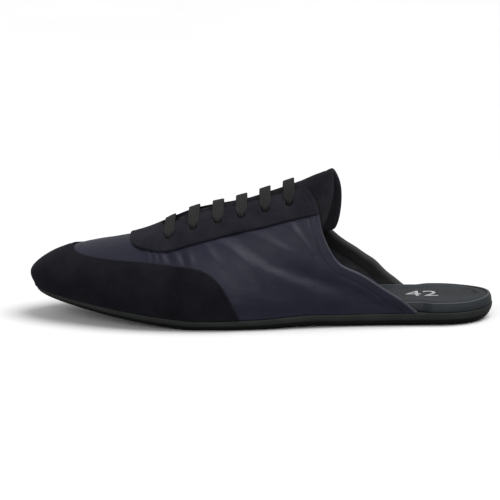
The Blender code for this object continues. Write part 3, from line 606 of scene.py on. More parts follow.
def rib_places(turns):
    """Where each rib leaves the top line. The ribs fan out round the toe."""
    return LENGTH - np.hypot(LENGTH - outline_point(1, turns)[0], TOE_FAN)


def turns_for(places):
    """The ribs that leave the top line at these places."""
    dense = np.linspace(turn_at(0.05 * SOLE_LENGTH), math.pi, 4000)
    return np.interp(places, rib_places(dense), dense)


def widest_level(x):
    """Height at which the upper is widest. It rises to the toe's foremost point."""
    own = sole_top(x) + column(PROFILE, "rise", x) * SIDE_RISE
    return own + (TOE_LEVEL - own) * np.clip((x / SOLE_LENGTH - 0.88) / 0.12, 0, 1) ** 2


def skin_point(side, turn, phi):
    """The upper's outer form. phi is 0 on the top line, a right angle where the section is widest and
    FEATHER at the sole. Above, the section is a quarter ellipse, out = sin phi and up = cos phi, drawn
    to a peak by a third harmonic. Below, a half cosine draws it in to the sole's ledge."""
    edge_x, _ = outline_point(side, turn)
    near_tip = np.clip((edge_x / SOLE_LENGTH - 0.80) / 0.20, 0, 1) ** 2
    wide_x, wide_y = outline(side, turn, -(SIDE_BULGE + (TOE_OVERHANG - SIDE_BULGE) * near_tip))
    top_x = rib_places(turn)
    top_y = column(PROFILE, "lean", top_x) * BALL_WIDTH
    peak = column(PROFILE, "peak", top_x)
    above = np.minimum(phi, WIDEST)
    out = (np.sin(above) - peak * np.sin(3 * above)) / (1 + peak)
    below = np.clip((phi - WIDEST) / FOOT_TURN, 0, 1)
    foot_x, foot_y = outline(side, turn, SOLE_LEDGE)
    drawn_in = (1 - np.cos(math.pi * below)) / 2
    x = top_x + (wide_x - top_x) * out + (foot_x - wide_x) * drawn_in
    y = top_y + (wide_y - top_y) * out + (foot_y - wide_y) * drawn_in
    level = widest_level(x)
    crown = level + (column(PROFILE, "ridge", x) * INSTEP_HEIGHT - level) * np.cos(above)
    seat = sole_top(foot_x) + SEAT_GAP
    z = np.where(phi > WIDEST, widest_level(wide_x) * (1 - below) + seat * below, crown)
    return np.stack(np.broadcast_arrays(x, y, z), axis=-1)


def skin_frame(side, turn, phi):
    """Outward normal of the form and its unit direction down the rib, from small differences."""
    guarded = np.maximum(phi, 0.12)
    ahead, behind = np.minimum(turn + 1e-4, math.pi), turn - 1e-4
    along = skin_point(side, ahead, guarded) - skin_point(side, behind, guarded)
    down = skin_point(side, turn, phi + 1e-4) - skin_point(side, turn, np.maximum(phi - 1e-4, 0))
    normal = np.cross(along, down) * side
    normal /= np.linalg.norm(normal, axis=-1, keepdims=True)
    return normal, down / np.linalg.norm(down, axis=-1, keepdims=True)


def ridge_normals(turns):
    """The top line's normals: the mean of both sides' there."""
    both = sum(skin_frame(side, turns, np.zeros_like(turns))[0] for side in (1, -1))
    return both / np.linalg.norm(both, axis=-1, keepdims=True)


def skin(side, turn, phi, lift):
    """A point lifted off the form. On the top line both sides lift along one mean normal."""
    turn, phi = np.broadcast_arrays(np.asarray(turn, float), np.asarray(phi, float))
    normal, _ = skin_frame(side, turn, phi)
    share = np.clip(1 - phi / 0.14, 0, 1)[..., None]
    normal = normal * (1 - share) + ridge_normals(turn) * share
    normal /= np.linalg.norm(normal, axis=-1, keepdims=True)
    return skin_point(side, turn, phi) + np.broadcast_to(lift, turn.shape)[..., None] * normal


def rib_crossing(side, turns, wanted):
    """On each rib, the angle where wanted(points) turns from negative to positive."""
    angles = np.linspace(0, FEATHER, 420)
    values = wanted(skin_point(side, turns[:, None], angles[None, :]))
    hit = values >= 0
    first = np.where(hit.any(axis=1), hit.argmax(axis=1), len(angles) - 1)
    rows = np.arange(len(turns))
    before = np.maximum(first - 1, 0)
    a, b = values[rows, before], values[rows, first]
    share = np.where(b > a, -a / np.where(b > a, b - a, 1), 1.0)
    return np.where(first == 0, 0.0, angles[before] + (angles[1] - angles[0]) * np.clip(share, 0, 1))


def line_angle(side, turns, table):
    """The angle at which each rib passes an edge line given by its height."""
    along, height = traced(table, 600)
    return rib_crossing(side, turns, lambda p: np.interp(p[..., 0], along, height) - p[..., 2])


def spread_angle(side, turns, distance):
    """The angle at which each rib is a given distance from the top line, measured in plan."""
    return rib_crossing(side, turns, lambda p: np.hypot(
        p[..., 0] - p[:, :1, 0], p[..., 1] - p[:, :1, 1]) - np.asarray(distance(p[..., 0])))


def throat_half(x):
    """Half the throat's opening, round at its front and a little wider at the collar."""
    behind = THROAT_FRONT - x
    widening = 0.88 + 0.20 * np.clip(behind / (0.3 * SOLE_LENGTH), 0, 1)
    return THROAT_GAP / 2 * widening * round_end(np.clip(behind, 0, None), THROAT_ROUND)


def opening_angle(side, turns):
    """Where each rib of the upper begins: on the top line, at the throat's edge or at the collar."""
    places = rib_places(turns)
    throat = np.where(places < THROAT_FRONT, spread_angle(side, turns, throat_half), 0)
    behind = places < COLLAR[side]["along"][-1] * SOLE_LENGTH
    return np.where(behind, np.maximum(throat, line_angle(side, turns, COLLAR[side])), throat)


def turns_along(side, table, count):
    """The ribs that pass through even points of an edge line."""
    places, _ = traced(table, count)
    first, last = places.min() - 0.02 * SOLE_LENGTH, places.max() + 0.04 * SOLE_LENGTH
    dense = np.linspace(turn_at(first), turn_at(last), 400)
    crossing = skin_point(side, dense, line_angle(side, dense, table))[:, 0]
    return np.interp(places, np.maximum.accumulate(crossing), dense)


def distance_to(points, line):
    """Distance of each point to the nearest sample of a line."""
    flat = points.reshape(-1, 3)
    gaps = (flat**2).sum(axis=1)[:, None] + (line**2).sum(axis=1) - 2 * flat @ line.T
    return np.sqrt(np.maximum(gaps.min(axis=1), 0)).reshape(points.shape[:-1])


def folds_at(points, folds):
    """Sum of the folds: each is a bell curve across its line, exp(-(d / half width)^2), that dies out
    towards both ends by a sine."""
    total = np.zeros(points.shape[:-1])
    for places, heights, depth, half in folds:
        knots = np.linspace(0, 1, len(places))
        fine = np.linspace(0, 1, 60)
        line = np.stack([np.interp(fine, knots, places), np.interp(fine, knots, heights)], axis=1) * MM
        flat = points.reshape(-1, 3)[:, [0, 2]]
        gaps = (flat**2).sum(axis=1)[:, None] + (line**2).sum(axis=1) - 2 * flat @ line.T
        near = gaps.argmin(axis=1)
        apart = np.maximum(gaps[np.arange(len(flat)), near], 0)
        fade = np.sin(math.pi * (0.06 + 0.88 * fine[near])) ** 0.7
        total += (depth * MM * fade * np.exp(-apart / (half * MM) ** 2)).reshape(total.shape)
    return total


def pulled(side, points, edge):
    """How far the cloth stands off the plain form: its folds and its slack, calmed near the cut edge
    and dying out at the lasted foot."""
    calm = ease((distance_to(points, edge) - 2.5 * MM) / (8 * MM))
    low = ease((points[..., 2] - sole_top(points[..., 0]) - 1 * MM) / (6 * MM))
    folds = OUTER_FOLDS if side > 0 else INNER_FOLDS
    return (FOLD_GAIN * folds_at(points, folds) + slack(points)) * low * (0.35 + 0.65 * calm)


def slack(points):
    """Slight unevenness of the stretched cloth: three slow waves that run down the flank."""
    x, z = points[..., 0] / MM, points[..., 2] / MM
    waves = np.sin(0.21 * x + 0.34 * z) + 0.7 * np.sin(0.47 * x - 0.16 * z + 1.3)
    return 0.05 * MM * (waves + 0.5 * np.sin(0.09 * x + 0.8 * z))


BACK_FRAME = turns_for(np.array([THROAT_FRONT]))[0]
FRONT_TURNS = BACK_FRAME + (math.pi - BACK_FRAME) * np.linspace(0, 1, 130)


def flank_turns(side, fine=1.0):
    """A flank's ribs: even along its collar, then along the throat, then round the toe."""
    collar = turns_along(side, COLLAR[side], int(130 * fine))
    neck = turns_for(THROAT_FRONT - THROAT_ROUND * np.linspace(1, 0, 14) ** 2)
    middle = np.linspace(collar[-1], neck[0], int(78 * fine))[1:-1]
    return np.concatenate([collar, middle, neck, FRONT_TURNS[1:]])


def flank(side, turns, columns, start=None, end=None):
    """A grid over one flank of the plain form. Returns its points, its turns and its angles."""
    first = opening_angle(side, turns) if start is None else start
    last = np.full(len(turns), FEATHER) if end is None else end
    phi = first[:, None] + np.maximum(last - first, 0)[:, None] * np.linspace(0, 1, columns)
    turn = np.broadcast_to(turns[:, None], phi.shape)
    return skin_point(side, turn, phi), turn, phi


def edge_line(side, turns):
    """The cut edge of the upper: its collar and throat."""
    keep = rib_places(turns) < THROAT_FRONT
    return skin_point(side, turns[keep], opening_angle(side, turns[keep]))


def cloth_flank(side):
    """The cloth's outer face: the form, its folds, and a turned-over hem at the collar, which is a
    step with a stitched groove. The path map holds the place along the foot and the run down the
    rib, with a jump past the collar's region."""
    turns = flank_turns(side)
    plain, turn, phi = flank(side, turns, 58)
    edge = edge_line(side, turns)
    collar = edge[edge[:, 2] < traced(COLLAR[side], 10)[1][-1]]
    near = distance_to(plain, collar)
    hem = HEM_STEP * (1 - ease((near - HEM_WIDTH) / (0.9 * MM)))
    groove = -0.38 * MM * np.exp(-(((near - HEM_SEAM) / (0.7 * MM)) ** 2))
    turned = 0.15 * MM * np.exp(-(((near - 0.7 * MM) / (0.5 * MM)) ** 2))
    roll = turned - 0.4 * MM * (1 - ease(near / (0.5 * MM)))
    grid = skin(side, turn, phi, pulled(side, plain, edge) + hem + groove + roll)
    length = np.cumsum(np.pad(np.linalg.norm(np.diff(plain, axis=1), axis=-1), ((0, 0), (1, 0))), axis=1)
    in_front = np.where(rib_places(turns) > 0.40 * SOLE_LENGTH, 50 * MM, 0.0)[:, None]
    length = length + np.where(near > 12 * MM, 20 * MM, 0.0) + in_front
    return grid, np.stack([plain[..., 0], length], axis=-1)


def sheet_piece(name, grids, uvs, thickness):
    """A sheet of two flanks, joined on the top line in front of the throat, with its wall inwards."""
    points, faces = join_grids(grids, [False, True])
    uv = np.concatenate([u.reshape(-1, 2) for u in uvs])
    piece = mesh_piece(name, points, faces, uv, closed=False, weld=0.04 * MM)
    wall = piece.modifiers.new("wall", "SOLIDIFY")
    wall.thickness, wall.offset = thickness, -1
    return piece


def weave_group():
    """Woven cloth on a piece's own path map, in metres: two crossed sine ribs make the threads."""
    group, given, result = blank_group(
        "weave", [("Vector", VECTOR, None), ("Threads", FLOAT, 2400.0)], [("Height", FLOAT)])
    scaled = node_of(group, "ShaderNodeVectorMath", {0: given.outputs["Vector"]}, operation="SCALE")
    group.links.new(given.outputs["Threads"], scaled.inputs["Scale"])
    split = node_of(group, "ShaderNodeSeparateXYZ", {0: scaled.outputs[0]}).outputs
    cross = sum_of(group, "MULTIPLY", sum_of(group, "SINE", split["X"]), sum_of(group, "SINE", split["Y"]))
    group.links.new(cross, result.inputs["Height"])
    return group


WEAVE = weave_group()


def satin_finish():
    """Dark navy satin-faced cloth: close threads, a soft sheen, fine puckers beside the folds, and a painted
    highlight along the collar's rolled edge.
    """
    made, tree, shader = finish_of("upper_fabric", {
        "Specular IOR Level": 0.22, "Sheen Weight": 0.05, "Sheen Roughness": 0.4,
        "Sheen Tint": (0.42, 0.44, 0.62, 1)})
    place = place_on(tree)
    path = node_of(tree, "ShaderNodeUVMap", uv_map="path").outputs[0]
    weave = node_of(tree, "ShaderNodeGroup", {"Vector": path, "Threads": 15000.0}, node_tree=WEAVE)
    look = handled(tree, place, (0.0082, 0.0082, 0.0190), (0.0142, 0.0142, 0.0290), 30.0, 1800.0, 0.50, 0.38)
    # Painted highlight: the first millimetre or so down from the collar's rolled edge is painted a lighter
    # navy.
    collar_edge_highlight = ramp(tree, path_on(tree)["Y"], 1.5 * MM, 0.6 * MM)
    show_on(tree, shader, blend(tree, collar_edge_highlight, look["Colour"], (0.045, 0.046, 0.062, 1)), look["Roughness"])
    pull = node_of(tree, "ShaderNodeMapping", {"Vector": place, "Rotation": (0, math.radians(-38), 0),
                                               "Scale": (28, 60, 150)})
    pucker = node_of(tree, "ShaderNodeTexNoise", {"Vector": pull.outputs[0], "Scale": 1.0, "Detail": 3.0,
                                                  "Distortion": 0.4})
    first = bump_onto(tree, shader, weave.outputs["Height"], 0.03 * MM, 0.5)
    bump_onto(tree, shader, pucker.outputs["Fac"], 0.9 * MM, 0.45, first)
    return made


cloth_grids = [cloth_flank(side) for side in (1, -1)]
cloth = sheet_piece("upper_cloth", [g for g, _ in cloth_grids], [u for _, u in cloth_grids], 0.8 * MM)
cloth.data.materials.append(satin_finish())


# The leather inside: a matt facing band along the collar, a step, then a glossier lining.
def lining_flank(side):
    """The inner wall, under the cloth. Its facing band along the edge stands in by one step. The path
    map carries the distance to the edge."""
    turns = flank_turns(side, 0.7)
    plain, turn, phi = flank(side, turns, 40)
    edge = edge_line(side, turns)
    near = distance_to(plain, edge)
    waves = 0.30 * MM * np.sin(plain[..., 0] / (3.4 * MM) + plain[..., 2] / (2.2 * MM))
    waves = waves * ease((near - 9 * MM) / (5 * MM)) * ease((plain[..., 2] - 14 * MM) / (8 * MM))
    step = FACING_STEP * ease((near - FACING_WIDTH) / (0.7 * MM))
    roll = 0.3 * MM * (1 - ease(near / (0.8 * MM)))
    lift = -0.95 * MM + pulled(side, plain, edge) - 0.2 * MM + step + waves + roll
    return skin(side, turn, phi, lift), np.stack([near, near], axis=-1)


def lining_finish():
    """Lining leather with a duller facing band: the band is told by the distance to the edge, which the
    path map carries. A light grey strip along the rolled edge is partly a binding tape and partly painted
    highlight."""
    made, tree, shader = finish_of("lining_leather", {"Specular IOR Level": 0.4})
    place, near = place_on(tree), path_on(tree)["X"]
    inside = ramp(tree, near, FACING_WIDTH, FACING_WIDTH + 0.6 * MM)
    look = handled(tree, place, (0.020, 0.020, 0.024), (0.040, 0.040, 0.046), 45.0, 1200.0, 0.44, 0.27)
    # Partly a grey tape and partly painted highlight: the dark facing turns light grey over the last 3.4 to
    # 1.6 mm towards the rolled edge.
    tape_and_highlight = ramp(tree, near, 3.4 * MM, 1.6 * MM)
    binding = blend(tree, tape_and_highlight, (0.0075, 0.0075, 0.0075, 1), (0.050, 0.052, 0.050, 1))
    grain = node_of(tree, "ShaderNodeGroup", {"Vector": place, "Wrinkle": 110.0}, node_tree=LEATHER_GRAIN)
    show_on(tree, shader, blend(tree, inside, binding, look["Colour"]),
            blend_value(tree, inside, 0.85, look["Roughness"]))
    bump_onto(tree, shader, grain.outputs["Height"], 0.15 * MM, 0.6)
    return made


lining_grids = [lining_flank(side) for side in (1, -1)]
lining = sheet_piece("upper_lining", [g for g, _ in lining_grids], [u for _, u in lining_grids], 0.75 * MM)
lining.data.materials.append(lining_finish())


# Toe overlay and eyestay
# Split-suede layers cut to shape, skived at the edge and stitched down on the cloth: a guard round
# the toe to the ball, and a band round the throat that carries six punched eyelets a side.
OVERLAY_THICK, SEAM_INSET = 1.1 * MM, 2.1 * MM
OVERLAY_EDGE = {
    "along": (0.556, 0.570, 0.583, 0.600, 0.622, 0.650, 0.690, 0.740, 0.790, 0.840, 0.885, 0.912, 0.922),
    "height": (0.075, 0.185, 0.272, 0.355, 0.415, 0.445, 0.459, 0.467, 0.468, 0.470, 0.478, 0.495, 0.530),
}
EYESTAY_EDGE = {
    "along": (0.360, 0.387, 0.440, 0.500, 0.560, 0.620, 0.665, 0.695, 0.725, 0.755, 0.773, 0.785, 0.792),
    "height": (0.845, 0.815, 0.775, 0.725, 0.680, 0.630, 0.588, 0.556, 0.540, 0.543, 0.553, 0.575, 0.620),
}
STAY_NOSE = 0.7915 * SOLE_LENGTH


def suede_finish(name, dark, light, shine):
    """Split suede: a short nap whose strokes lie in patches, lighter where it is brushed back, with a
    velvet sheen at grazing angles."""
    made, tree, shader = finish_of(name, {
        "Specular IOR Level": 0.06, "Sheen Weight": 0.08, "Sheen Roughness": 0.5,
        "Sheen Tint": (0.30, 0.30, 0.38, 1)})
    place = place_on(tree)
    look = handled(tree, place, dark, light, 55.0, 1300.0, 0.97, shine)
    fibres = node_of(tree, "ShaderNodeMapping", {"Vector": place, "Rotation": (0.3, 0.5, 0.4),
                                                 "Scale": (900, 3200, 2400)})
    nap = node_of(tree, "ShaderNodeTexNoise", {"Vector": fibres.outputs[0], "Scale": 1.0, "Detail": 5.0,
                                               "Roughness": 0.7})
    show_on(tree, shader, look["Colour"], look["Roughness"])
    first = bump_onto(tree, shader, look["Height"], 0.18 * MM, 0.5)
    bump_onto(tree, shader, nap.outputs["Fac"], 0.12 * MM, 0.6, first)
    return made


def skived(near, thick, reach):
    """A layer's thickness near its cut edge: a quarter ellipse from 55% of it up to the whole."""
    share = np.clip(near / reach, 0, 1)
    return thick * (0.55 + 0.45 * np.sqrt(share * (2 - share)))


def layer_flank(side, turns, start, end, columns, edges):
    """A layer on the form between two angles, thinned along its free edges. Its back lies on the
    cloth. A row of stitching pulls it down 0.2 mm along the seam inside each edge."""
    plain, turn, phi = flank(side, turns, columns, start, end)
    near = distance_to(plain, edges)
    seam = 0.20 * MM * np.exp(-(((near - SEAM_INSET) / (0.5 * MM)) ** 2))
    lift = SEAT_GAP + skived(near, OVERLAY_THICK, 1.1 * MM) - seam + 0.25 * slack(plain)
    grid = skin(side, turn, phi, lift)
    return grid, np.stack([plain[..., 0], plain[..., 2]], axis=-1)


def overlay_lines(side, turns):
    """The toe overlay's upper edge and its end just over the sole."""
    stop = rib_crossing(side, turns, lambda p: sole_top(p[..., 0]) + 2 * SEAT_GAP - p[..., 2])
    return np.minimum(line_angle(side, turns, OVERLAY_EDGE), stop), stop


guard_turns = {side: turns_along(side, OVERLAY_EDGE, 150) for side in (1, -1)}
guard_edges = {}
front = min(guard_turns[1][-1], guard_turns[-1][-1]) - 1e-3
tail = front + (math.pi - front) * np.linspace(0, 1, 90)
for side in (1, -1):
    back = guard_turns[side]
    guard_turns[side] = np.concatenate([back[back < front - 1e-4], tail])
    guard_edges[side] = skin_point(side, guard_turns[side], overlay_lines(side, guard_turns[side])[0])
all_guard = np.concatenate([guard_edges[1], guard_edges[-1]])
guard_grids = [
    layer_flank(side, guard_turns[side], *overlay_lines(side, guard_turns[side]), 44, all_guard)
    for side in (1, -1)
]
toe_guard = sheet_piece("toe_guard", [g for g, _ in guard_grids], [u for _, u in guard_grids], 0.9 * MM)
suede = suede_finish("overlay_suede", (0.0042, 0.0040, 0.0058), (0.0105, 0.0100, 0.0135), 0.86)
toe_guard.data.materials.append(suede)


def stay_turns(side):
    """The eyestay's ribs: along the throat from the collar, round the throat's front, to the nose."""
    collar = turns_along(side, COLLAR[side], 130)
    reach = line_angle(side, collar, EYESTAY_EDGE) > opening_angle(side, collar) + 1e-4
    collar = collar[max(int(reach.argmax()) - 1, 0):]
    neck = turns_for(THROAT_FRONT - THROAT_ROUND * np.linspace(1, 0, 16) ** 2)
    middle = np.linspace(collar[-1], neck[0], 90)[1:-1]
    nose = THROAT_FRONT + (STAY_NOSE - THROAT_FRONT) * np.sin(np.linspace(0, math.pi / 2, 40))
    return np.concatenate([collar, middle, neck, turns_for(nose)[1:]])


stay_grids, stay_edges = [], {}
for side in (1, -1):
    turns = stay_turns(side)
    lower = line_angle(side, turns, EYESTAY_EDGE)
    upper_edge = np.minimum(opening_angle(side, turns), lower)
    open_part = rib_places(turns) < THROAT_FRONT
    stay_edges[side] = (skin_point(side, turns[open_part], upper_edge[open_part]),
                        skin_point(side, turns, lower))
all_stay = np.concatenate([line for side in (1, -1) for line in stay_edges[side]])
for side in (1, -1):
    turns = stay_turns(side)
    lower = line_angle(side, turns, EYESTAY_EDGE)
    upper_edge = np.minimum(opening_angle(side, turns), lower)
    stay_grids.append(layer_flank(side, turns, upper_edge, lower, 34, all_stay))
eyestay = sheet_piece("eyestay_band", [g for g, _ in stay_grids], [u for _, u in stay_grids], 0.9 * MM)
nubuck = suede_finish("eyestay_suede", (0.0075, 0.0074, 0.0105), (0.0170, 0.0166, 0.0230), 0.66)
eyestay.data.materials.append(nubuck)


# The eyelets are plain punched holes, with no metal, through the band, the cloth and the lining.
EYELET_ROWS, EYELET_PITCH, EYELET_HOLE = 6, 14.6 * MM, 4.8 * MM
EYELET_SPREAD, EYELET_TAPER, FIRST_EYELET = 23.4 * MM, 3.6 * MM, 0.700 * SOLE_LENGTH


def eyelet_spread(x):
    """Distance of the eyelets from the top line. The two rows draw together towards the collar."""
    return EYELET_SPREAD - EYELET_TAPER * (FIRST_EYELET - x) / (EYELET_PITCH * (EYELET_ROWS - 1))


eyelet_turns = turns_for(FIRST_EYELET - EYELET_PITCH * np.arange(EYELET_ROWS))
eyelet_angles = {side: spread_angle(side, eyelet_turns, eyelet_spread) for side in (1, -1)}


def eyelet_pins():
    """Twelve pins at right angles to the form, to punch with: circles of 20 points swept 11 mm."""
    around = np.linspace(0, 2 * math.pi, 21)[:-1]
    rings = []
    for side in (1, -1):
        base = skin_point(side, eyelet_turns, eyelet_angles[side])
        normal, down = skin_frame(side, eyelet_turns, eyelet_angles[side])
        across = np.cross(normal, down)
        circle = (down[:, None] * np.cos(around)[:, None] + across[:, None] * np.sin(around)[:, None])
        for lift in (-5.5 * MM, 5.5 * MM):
            rings.append(base[:, None] + normal[:, None] * lift + circle * EYELET_HOLE / 2)
    low = np.concatenate([rings[0], rings[2]])
    high = np.concatenate([rings[1], rings[3]])
    points = np.concatenate([low, high], axis=1).reshape(-1, 3)
    mesh = bpy.data.meshes.new("eyelet_pins")
    here, after = np.arange(20), np.roll(np.arange(20), -1)
    wall = np.stack([here, after, after + 20, here + 20], axis=1)
    faces = [tuple(row) for start in range(0, len(points), 40) for row in (wall + start).tolist()]
    faces += [tuple(range(start, start + 20))[::-1] for start in range(0, len(points), 40)]
    faces += [tuple(range(start + 20, start + 40)) for start in range(0, len(points), 40)]
    mesh.from_pydata((points - SHIFT).tolist(), [], faces)
    body = bmesh.new()
    body.from_mesh(mesh)
    bmesh.ops.recalc_face_normals(body, faces=body.faces)
    body.to_mesh(mesh)
    body.free()
    made = bpy.data.objects.new("eyelet_pins", mesh)
    bpy.context.scene.collection.objects.link(made)
    return made


def bake(piece):
    """Replaces a piece's mesh by its evaluated one, so that no live modifier is left on it."""
    bpy.context.view_layer.update()
    evaluated = piece.evaluated_get(bpy.context.evaluated_depsgraph_get())
    mesh = bpy.data.meshes.new_from_object(evaluated)
    piece.modifiers.clear()
    piece.data = mesh


pins = eyelet_pins()
for piece in (cloth, lining, eyestay):
    punch = piece.modifiers.new("eyelets", "BOOLEAN")
    punch.operation, punch.solver, punch.object = "DIFFERENCE", "EXACT", pins
    bake(piece)
bpy.data.objects.remove(pins)
for piece, node, slot in (
    (cloth, "upper", "upper_fabric"), (lining, "upper", "footbed_leather"),
    (toe_guard, "toe_overlay", "overlay_suede"), (eyestay, "eyestay", "overlay_suede"),
):
    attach(piece, "root")
    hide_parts(node)


# Tongue
# A soft tongue of two suede faces over thin foam, bound by a stitched fold along its free edge. It is
# sewn in under the vamp and stands up behind the last eyelets.
TONGUE_THICK, TONGUE_CROWN, TONGUE_FLARE = 2.6 * MM, 3.4 * MM, 1.9 * MM
TONGUE_CORNER, OUTER_SWEEP, INNER_SWEEP = 9.0 * MM, 0.5 * MM, 10.5 * MM
TONGUE_ROOT, TONGUE_TIP = 0.765 * SOLE_LENGTH, 0.350 * SOLE_LENGTH
LACE_THICK, LACE_SLACK = 1.2 * MM, 0.5 * MM
TONGUE_EDGE = {
    "along": (0.330, 0.380, 0.420, 0.500, 0.620, 0.720, 0.765),
    1: (1.256, 1.274, 1.256, 1.203, 1.13, 1.06, 0.97),
    -1: (1.203, 1.22, 1.22, 1.19, 1.13, 1.06, 0.97),
}


def tongue_depth(turns, shares):
    """How deep the tongue's outer face lies under the form: close at its root, with room for the lace
    behind the eyelets, crowned into the throat, and flared a little at its tip."""
    places = rib_places(turns)
    close = UPPER_WALL + SEAT_GAP
    deep = UPPER_WALL + LACE_THICK + 2 * LACE_SLACK
    root = np.clip((places - THROAT_FRONT) / (TONGUE_ROOT - THROAT_FRONT), 0, 1)
    open_part = np.clip((THROAT_FRONT - places) / (0.05 * SOLE_LENGTH), 0, 1)
    crown = TONGUE_CROWN * open_part * (1 - np.minimum(1, shares / 0.65) ** 2) ** 2
    flare = TONGUE_FLARE * np.clip((0.421 * SOLE_LENGTH - places) / (0.07 * SOLE_LENGTH), 0, 1)
    return deep + (close - deep) * root - crown - flare * (1 - shares**4)


def tongue_flank(side):
    """Half the tongue: across from its middle to its side, and down from its free edge to its root.
    Returns the outer face and the inner face."""
    shares = np.sin(np.linspace(0, math.pi / 2, 40))
    down = np.concatenate([np.linspace(0, 0.3, 50) ** 1.3 * 0.3**-0.3, np.linspace(0.3, 1, 50)[1:]])
    corner = np.clip((shares - 0.45) / 0.55, 0, 1)
    sweep = OUTER_SWEEP if side > 0 else -INNER_SWEEP
    tip = TONGUE_TIP + sweep * shares**1.2 + TONGUE_CORNER * (1 - np.sqrt(1 - corner * corner))
    places = tip + (TONGUE_ROOT - tip) * down[:, None]
    turn = turns_for(places)
    reach = column(TONGUE_EDGE, side, places) * EYELET_SPREAD * shares
    dense = np.linspace(turn.min(), turn.max(), 160)
    spans = np.linspace(0, 1.5 * EYELET_SPREAD, 60)
    table = np.stack([spread_angle(side, dense, lambda x, s=s: s) for s in spans], axis=1)
    row = (turn - dense[0]) / (dense[-1] - dense[0]) * (len(dense) - 1)
    col = reach / spans[-1] * (len(spans) - 1)
    i, j = np.clip(row.astype(int), 0, len(dense) - 2), np.clip(col.astype(int), 0, len(spans) - 2)
    a, b = row - i, col - j
    phi = ((table[i, j] * (1 - a) + table[i + 1, j] * a) * (1 - b)
           + (table[i, j + 1] * (1 - a) + table[i + 1, j + 1] * a) * b)
    share = np.broadcast_to(shares, phi.shape)
    depth = tongue_depth(turn, share)
    middle = skin(side, turn, phi, -depth - TONGUE_THICK / 2)
    edge = np.concatenate([middle[0], middle[:, -1]])
    near = distance_to(middle, edge)
    half = TONGUE_THICK / 2 * round_end(near, 1.5 * MM)
    quilt = -0.32 * MM * np.exp(-(((near - 4.6 * MM) / (0.6 * MM)) ** 2))
    swell = 0.25 * MM * ease((near - 5 * MM) / (8 * MM))
    middle_lift = -depth - TONGUE_THICK / 2
    outer = skin(side, turn, phi, middle_lift + np.maximum(half + quilt + swell, 0) * (near > 0))
    inner = skin(side, turn, phi, middle_lift - np.maximum(half + quilt * 0.6, 0) * (near > 0))
    return outer, inner


tongue_parts = {side: tongue_flank(side) for side in (1, -1)}
tongue_points, tongue_faces = join_grids(
    [tongue_parts[1][0], tongue_parts[-1][0], tongue_parts[1][1], tongue_parts[-1][1]],
    [False, True, True, False])
tongue = mesh_piece("tongue_padded", tongue_points, tongue_faces)
tongue_suede = suede_finish("tongue_suede", (0.0070, 0.0072, 0.0090), (0.0160, 0.0162, 0.0195), 0.72)
tongue.data.materials.append(tongue_suede)
tongue.data.materials.append(leather_finish(
    "tongue_lining", (0.020, 0.020, 0.026), (0.034, 0.034, 0.043), 0.70, 0.55, 80.0))
face_count = len(tongue.data.polygons)
on_inside = (np.arange(face_count) >= face_count // 2).astype(np.int32)
tongue.data.polygons.foreach_set("material_index", on_inside)
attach(tongue, "root")
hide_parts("tongue")


# Lace
# One flat woven cotton lace, laced straight across in six bars. Its left end crosses every bar from
# the top eyelet down, and the rest runs back up inside to the top, so both ends are hidden there.
LACE_WIDTH, LACE_NECK, LACE_BEND = 7.4 * MM, 3.2 * MM, 1.4 * MM
OVER = SEAT_GAP + OVERLAY_THICK + LACE_SLACK + LACE_THICK / 2
UNDER = -(UPPER_WALL + LACE_SLACK + LACE_THICK / 2)


def bar_path(row):
    """One bar from the outer eyelet to the inner one: centres, wide directions and thin directions,
    with the half width and the half thickness in their lengths."""
    parts = []
    turn = eyelet_turns[row]
    for side in (1, -1):
        eyelet = eyelet_angles[side][row]
        one = np.array([turn])
        base = skin_point(side, one, np.array([eyelet]))[0]
        normal, down = (v[0] for v in skin_frame(side, one, np.array([eyelet])))
        across = np.cross(normal, down) * side
        step = skin_point(side, one, np.array([eyelet + 1e-4]))[0] - base
        shoulder = eyelet - LACE_BEND / (np.linalg.norm(step) / 1e-4)
        share = 1 - np.linspace(1, 0, 30) ** 1.4
        phi = share * shoulder
        turns = np.full_like(phi, turn)
        normals, downs = skin_frame(side, turns, phi)
        fade = np.clip(1 - phi / 0.14, 0, 1)[:, None]
        up = normals * (1 - fade) + ridge_normals(turns) * fade
        up /= np.linalg.norm(up, axis=1, keepdims=True)
        sideways = np.cross(up, downs) * side
        widening = np.sin(np.clip((1 - share) / 0.16, 0, 1) * math.pi / 2) ** 0.8
        width = LACE_NECK + (LACE_WIDTH - LACE_NECK) * widening
        centres = [skin_point(side, turns, phi) + up * OVER]
        wides, thins = [sideways * width[:, None] / 2], [up * LACE_THICK / 2]
        angle = np.linspace(0, math.pi / 2, 7)[1:, None]
        facing = normal * np.cos(angle) + down * np.sin(angle)
        centres.append(base - down * LACE_BEND + normal * (OVER - LACE_BEND) + facing * LACE_BEND)
        wides.append(np.repeat(across[None] * LACE_NECK / 2, 6, axis=0))
        thins.append(facing * LACE_THICK / 2)
        depth = np.linspace(OVER - LACE_BEND, UNDER, 6)[1:, None]
        centres.append(base + normal * depth)
        wides.append(np.repeat(across[None] * LACE_NECK / 2, 5, axis=0))
        thins.append(np.repeat(down[None] * LACE_THICK / 2, 5, axis=0))
        part = [np.concatenate(block) for block in (centres, wides, thins)]
        parts.append([block[::-1] for block in part] if side > 0 else [block[1:] for block in part])
    return [np.concatenate([a, b]) for a, b in zip(*parts)]


def run_path(side, places, beside=0.0):
    """A hidden run behind a facing, along its eyelets or a little beside them."""
    turns = turns_for(places)
    phi = spread_angle(side, turns, lambda x: eyelet_spread(x) + beside)
    normal, down = skin_frame(side, turns, phi)
    return [skin_point(side, turns, phi) + normal * UNDER, down * LACE_NECK / 2, normal * LACE_THICK / 2]


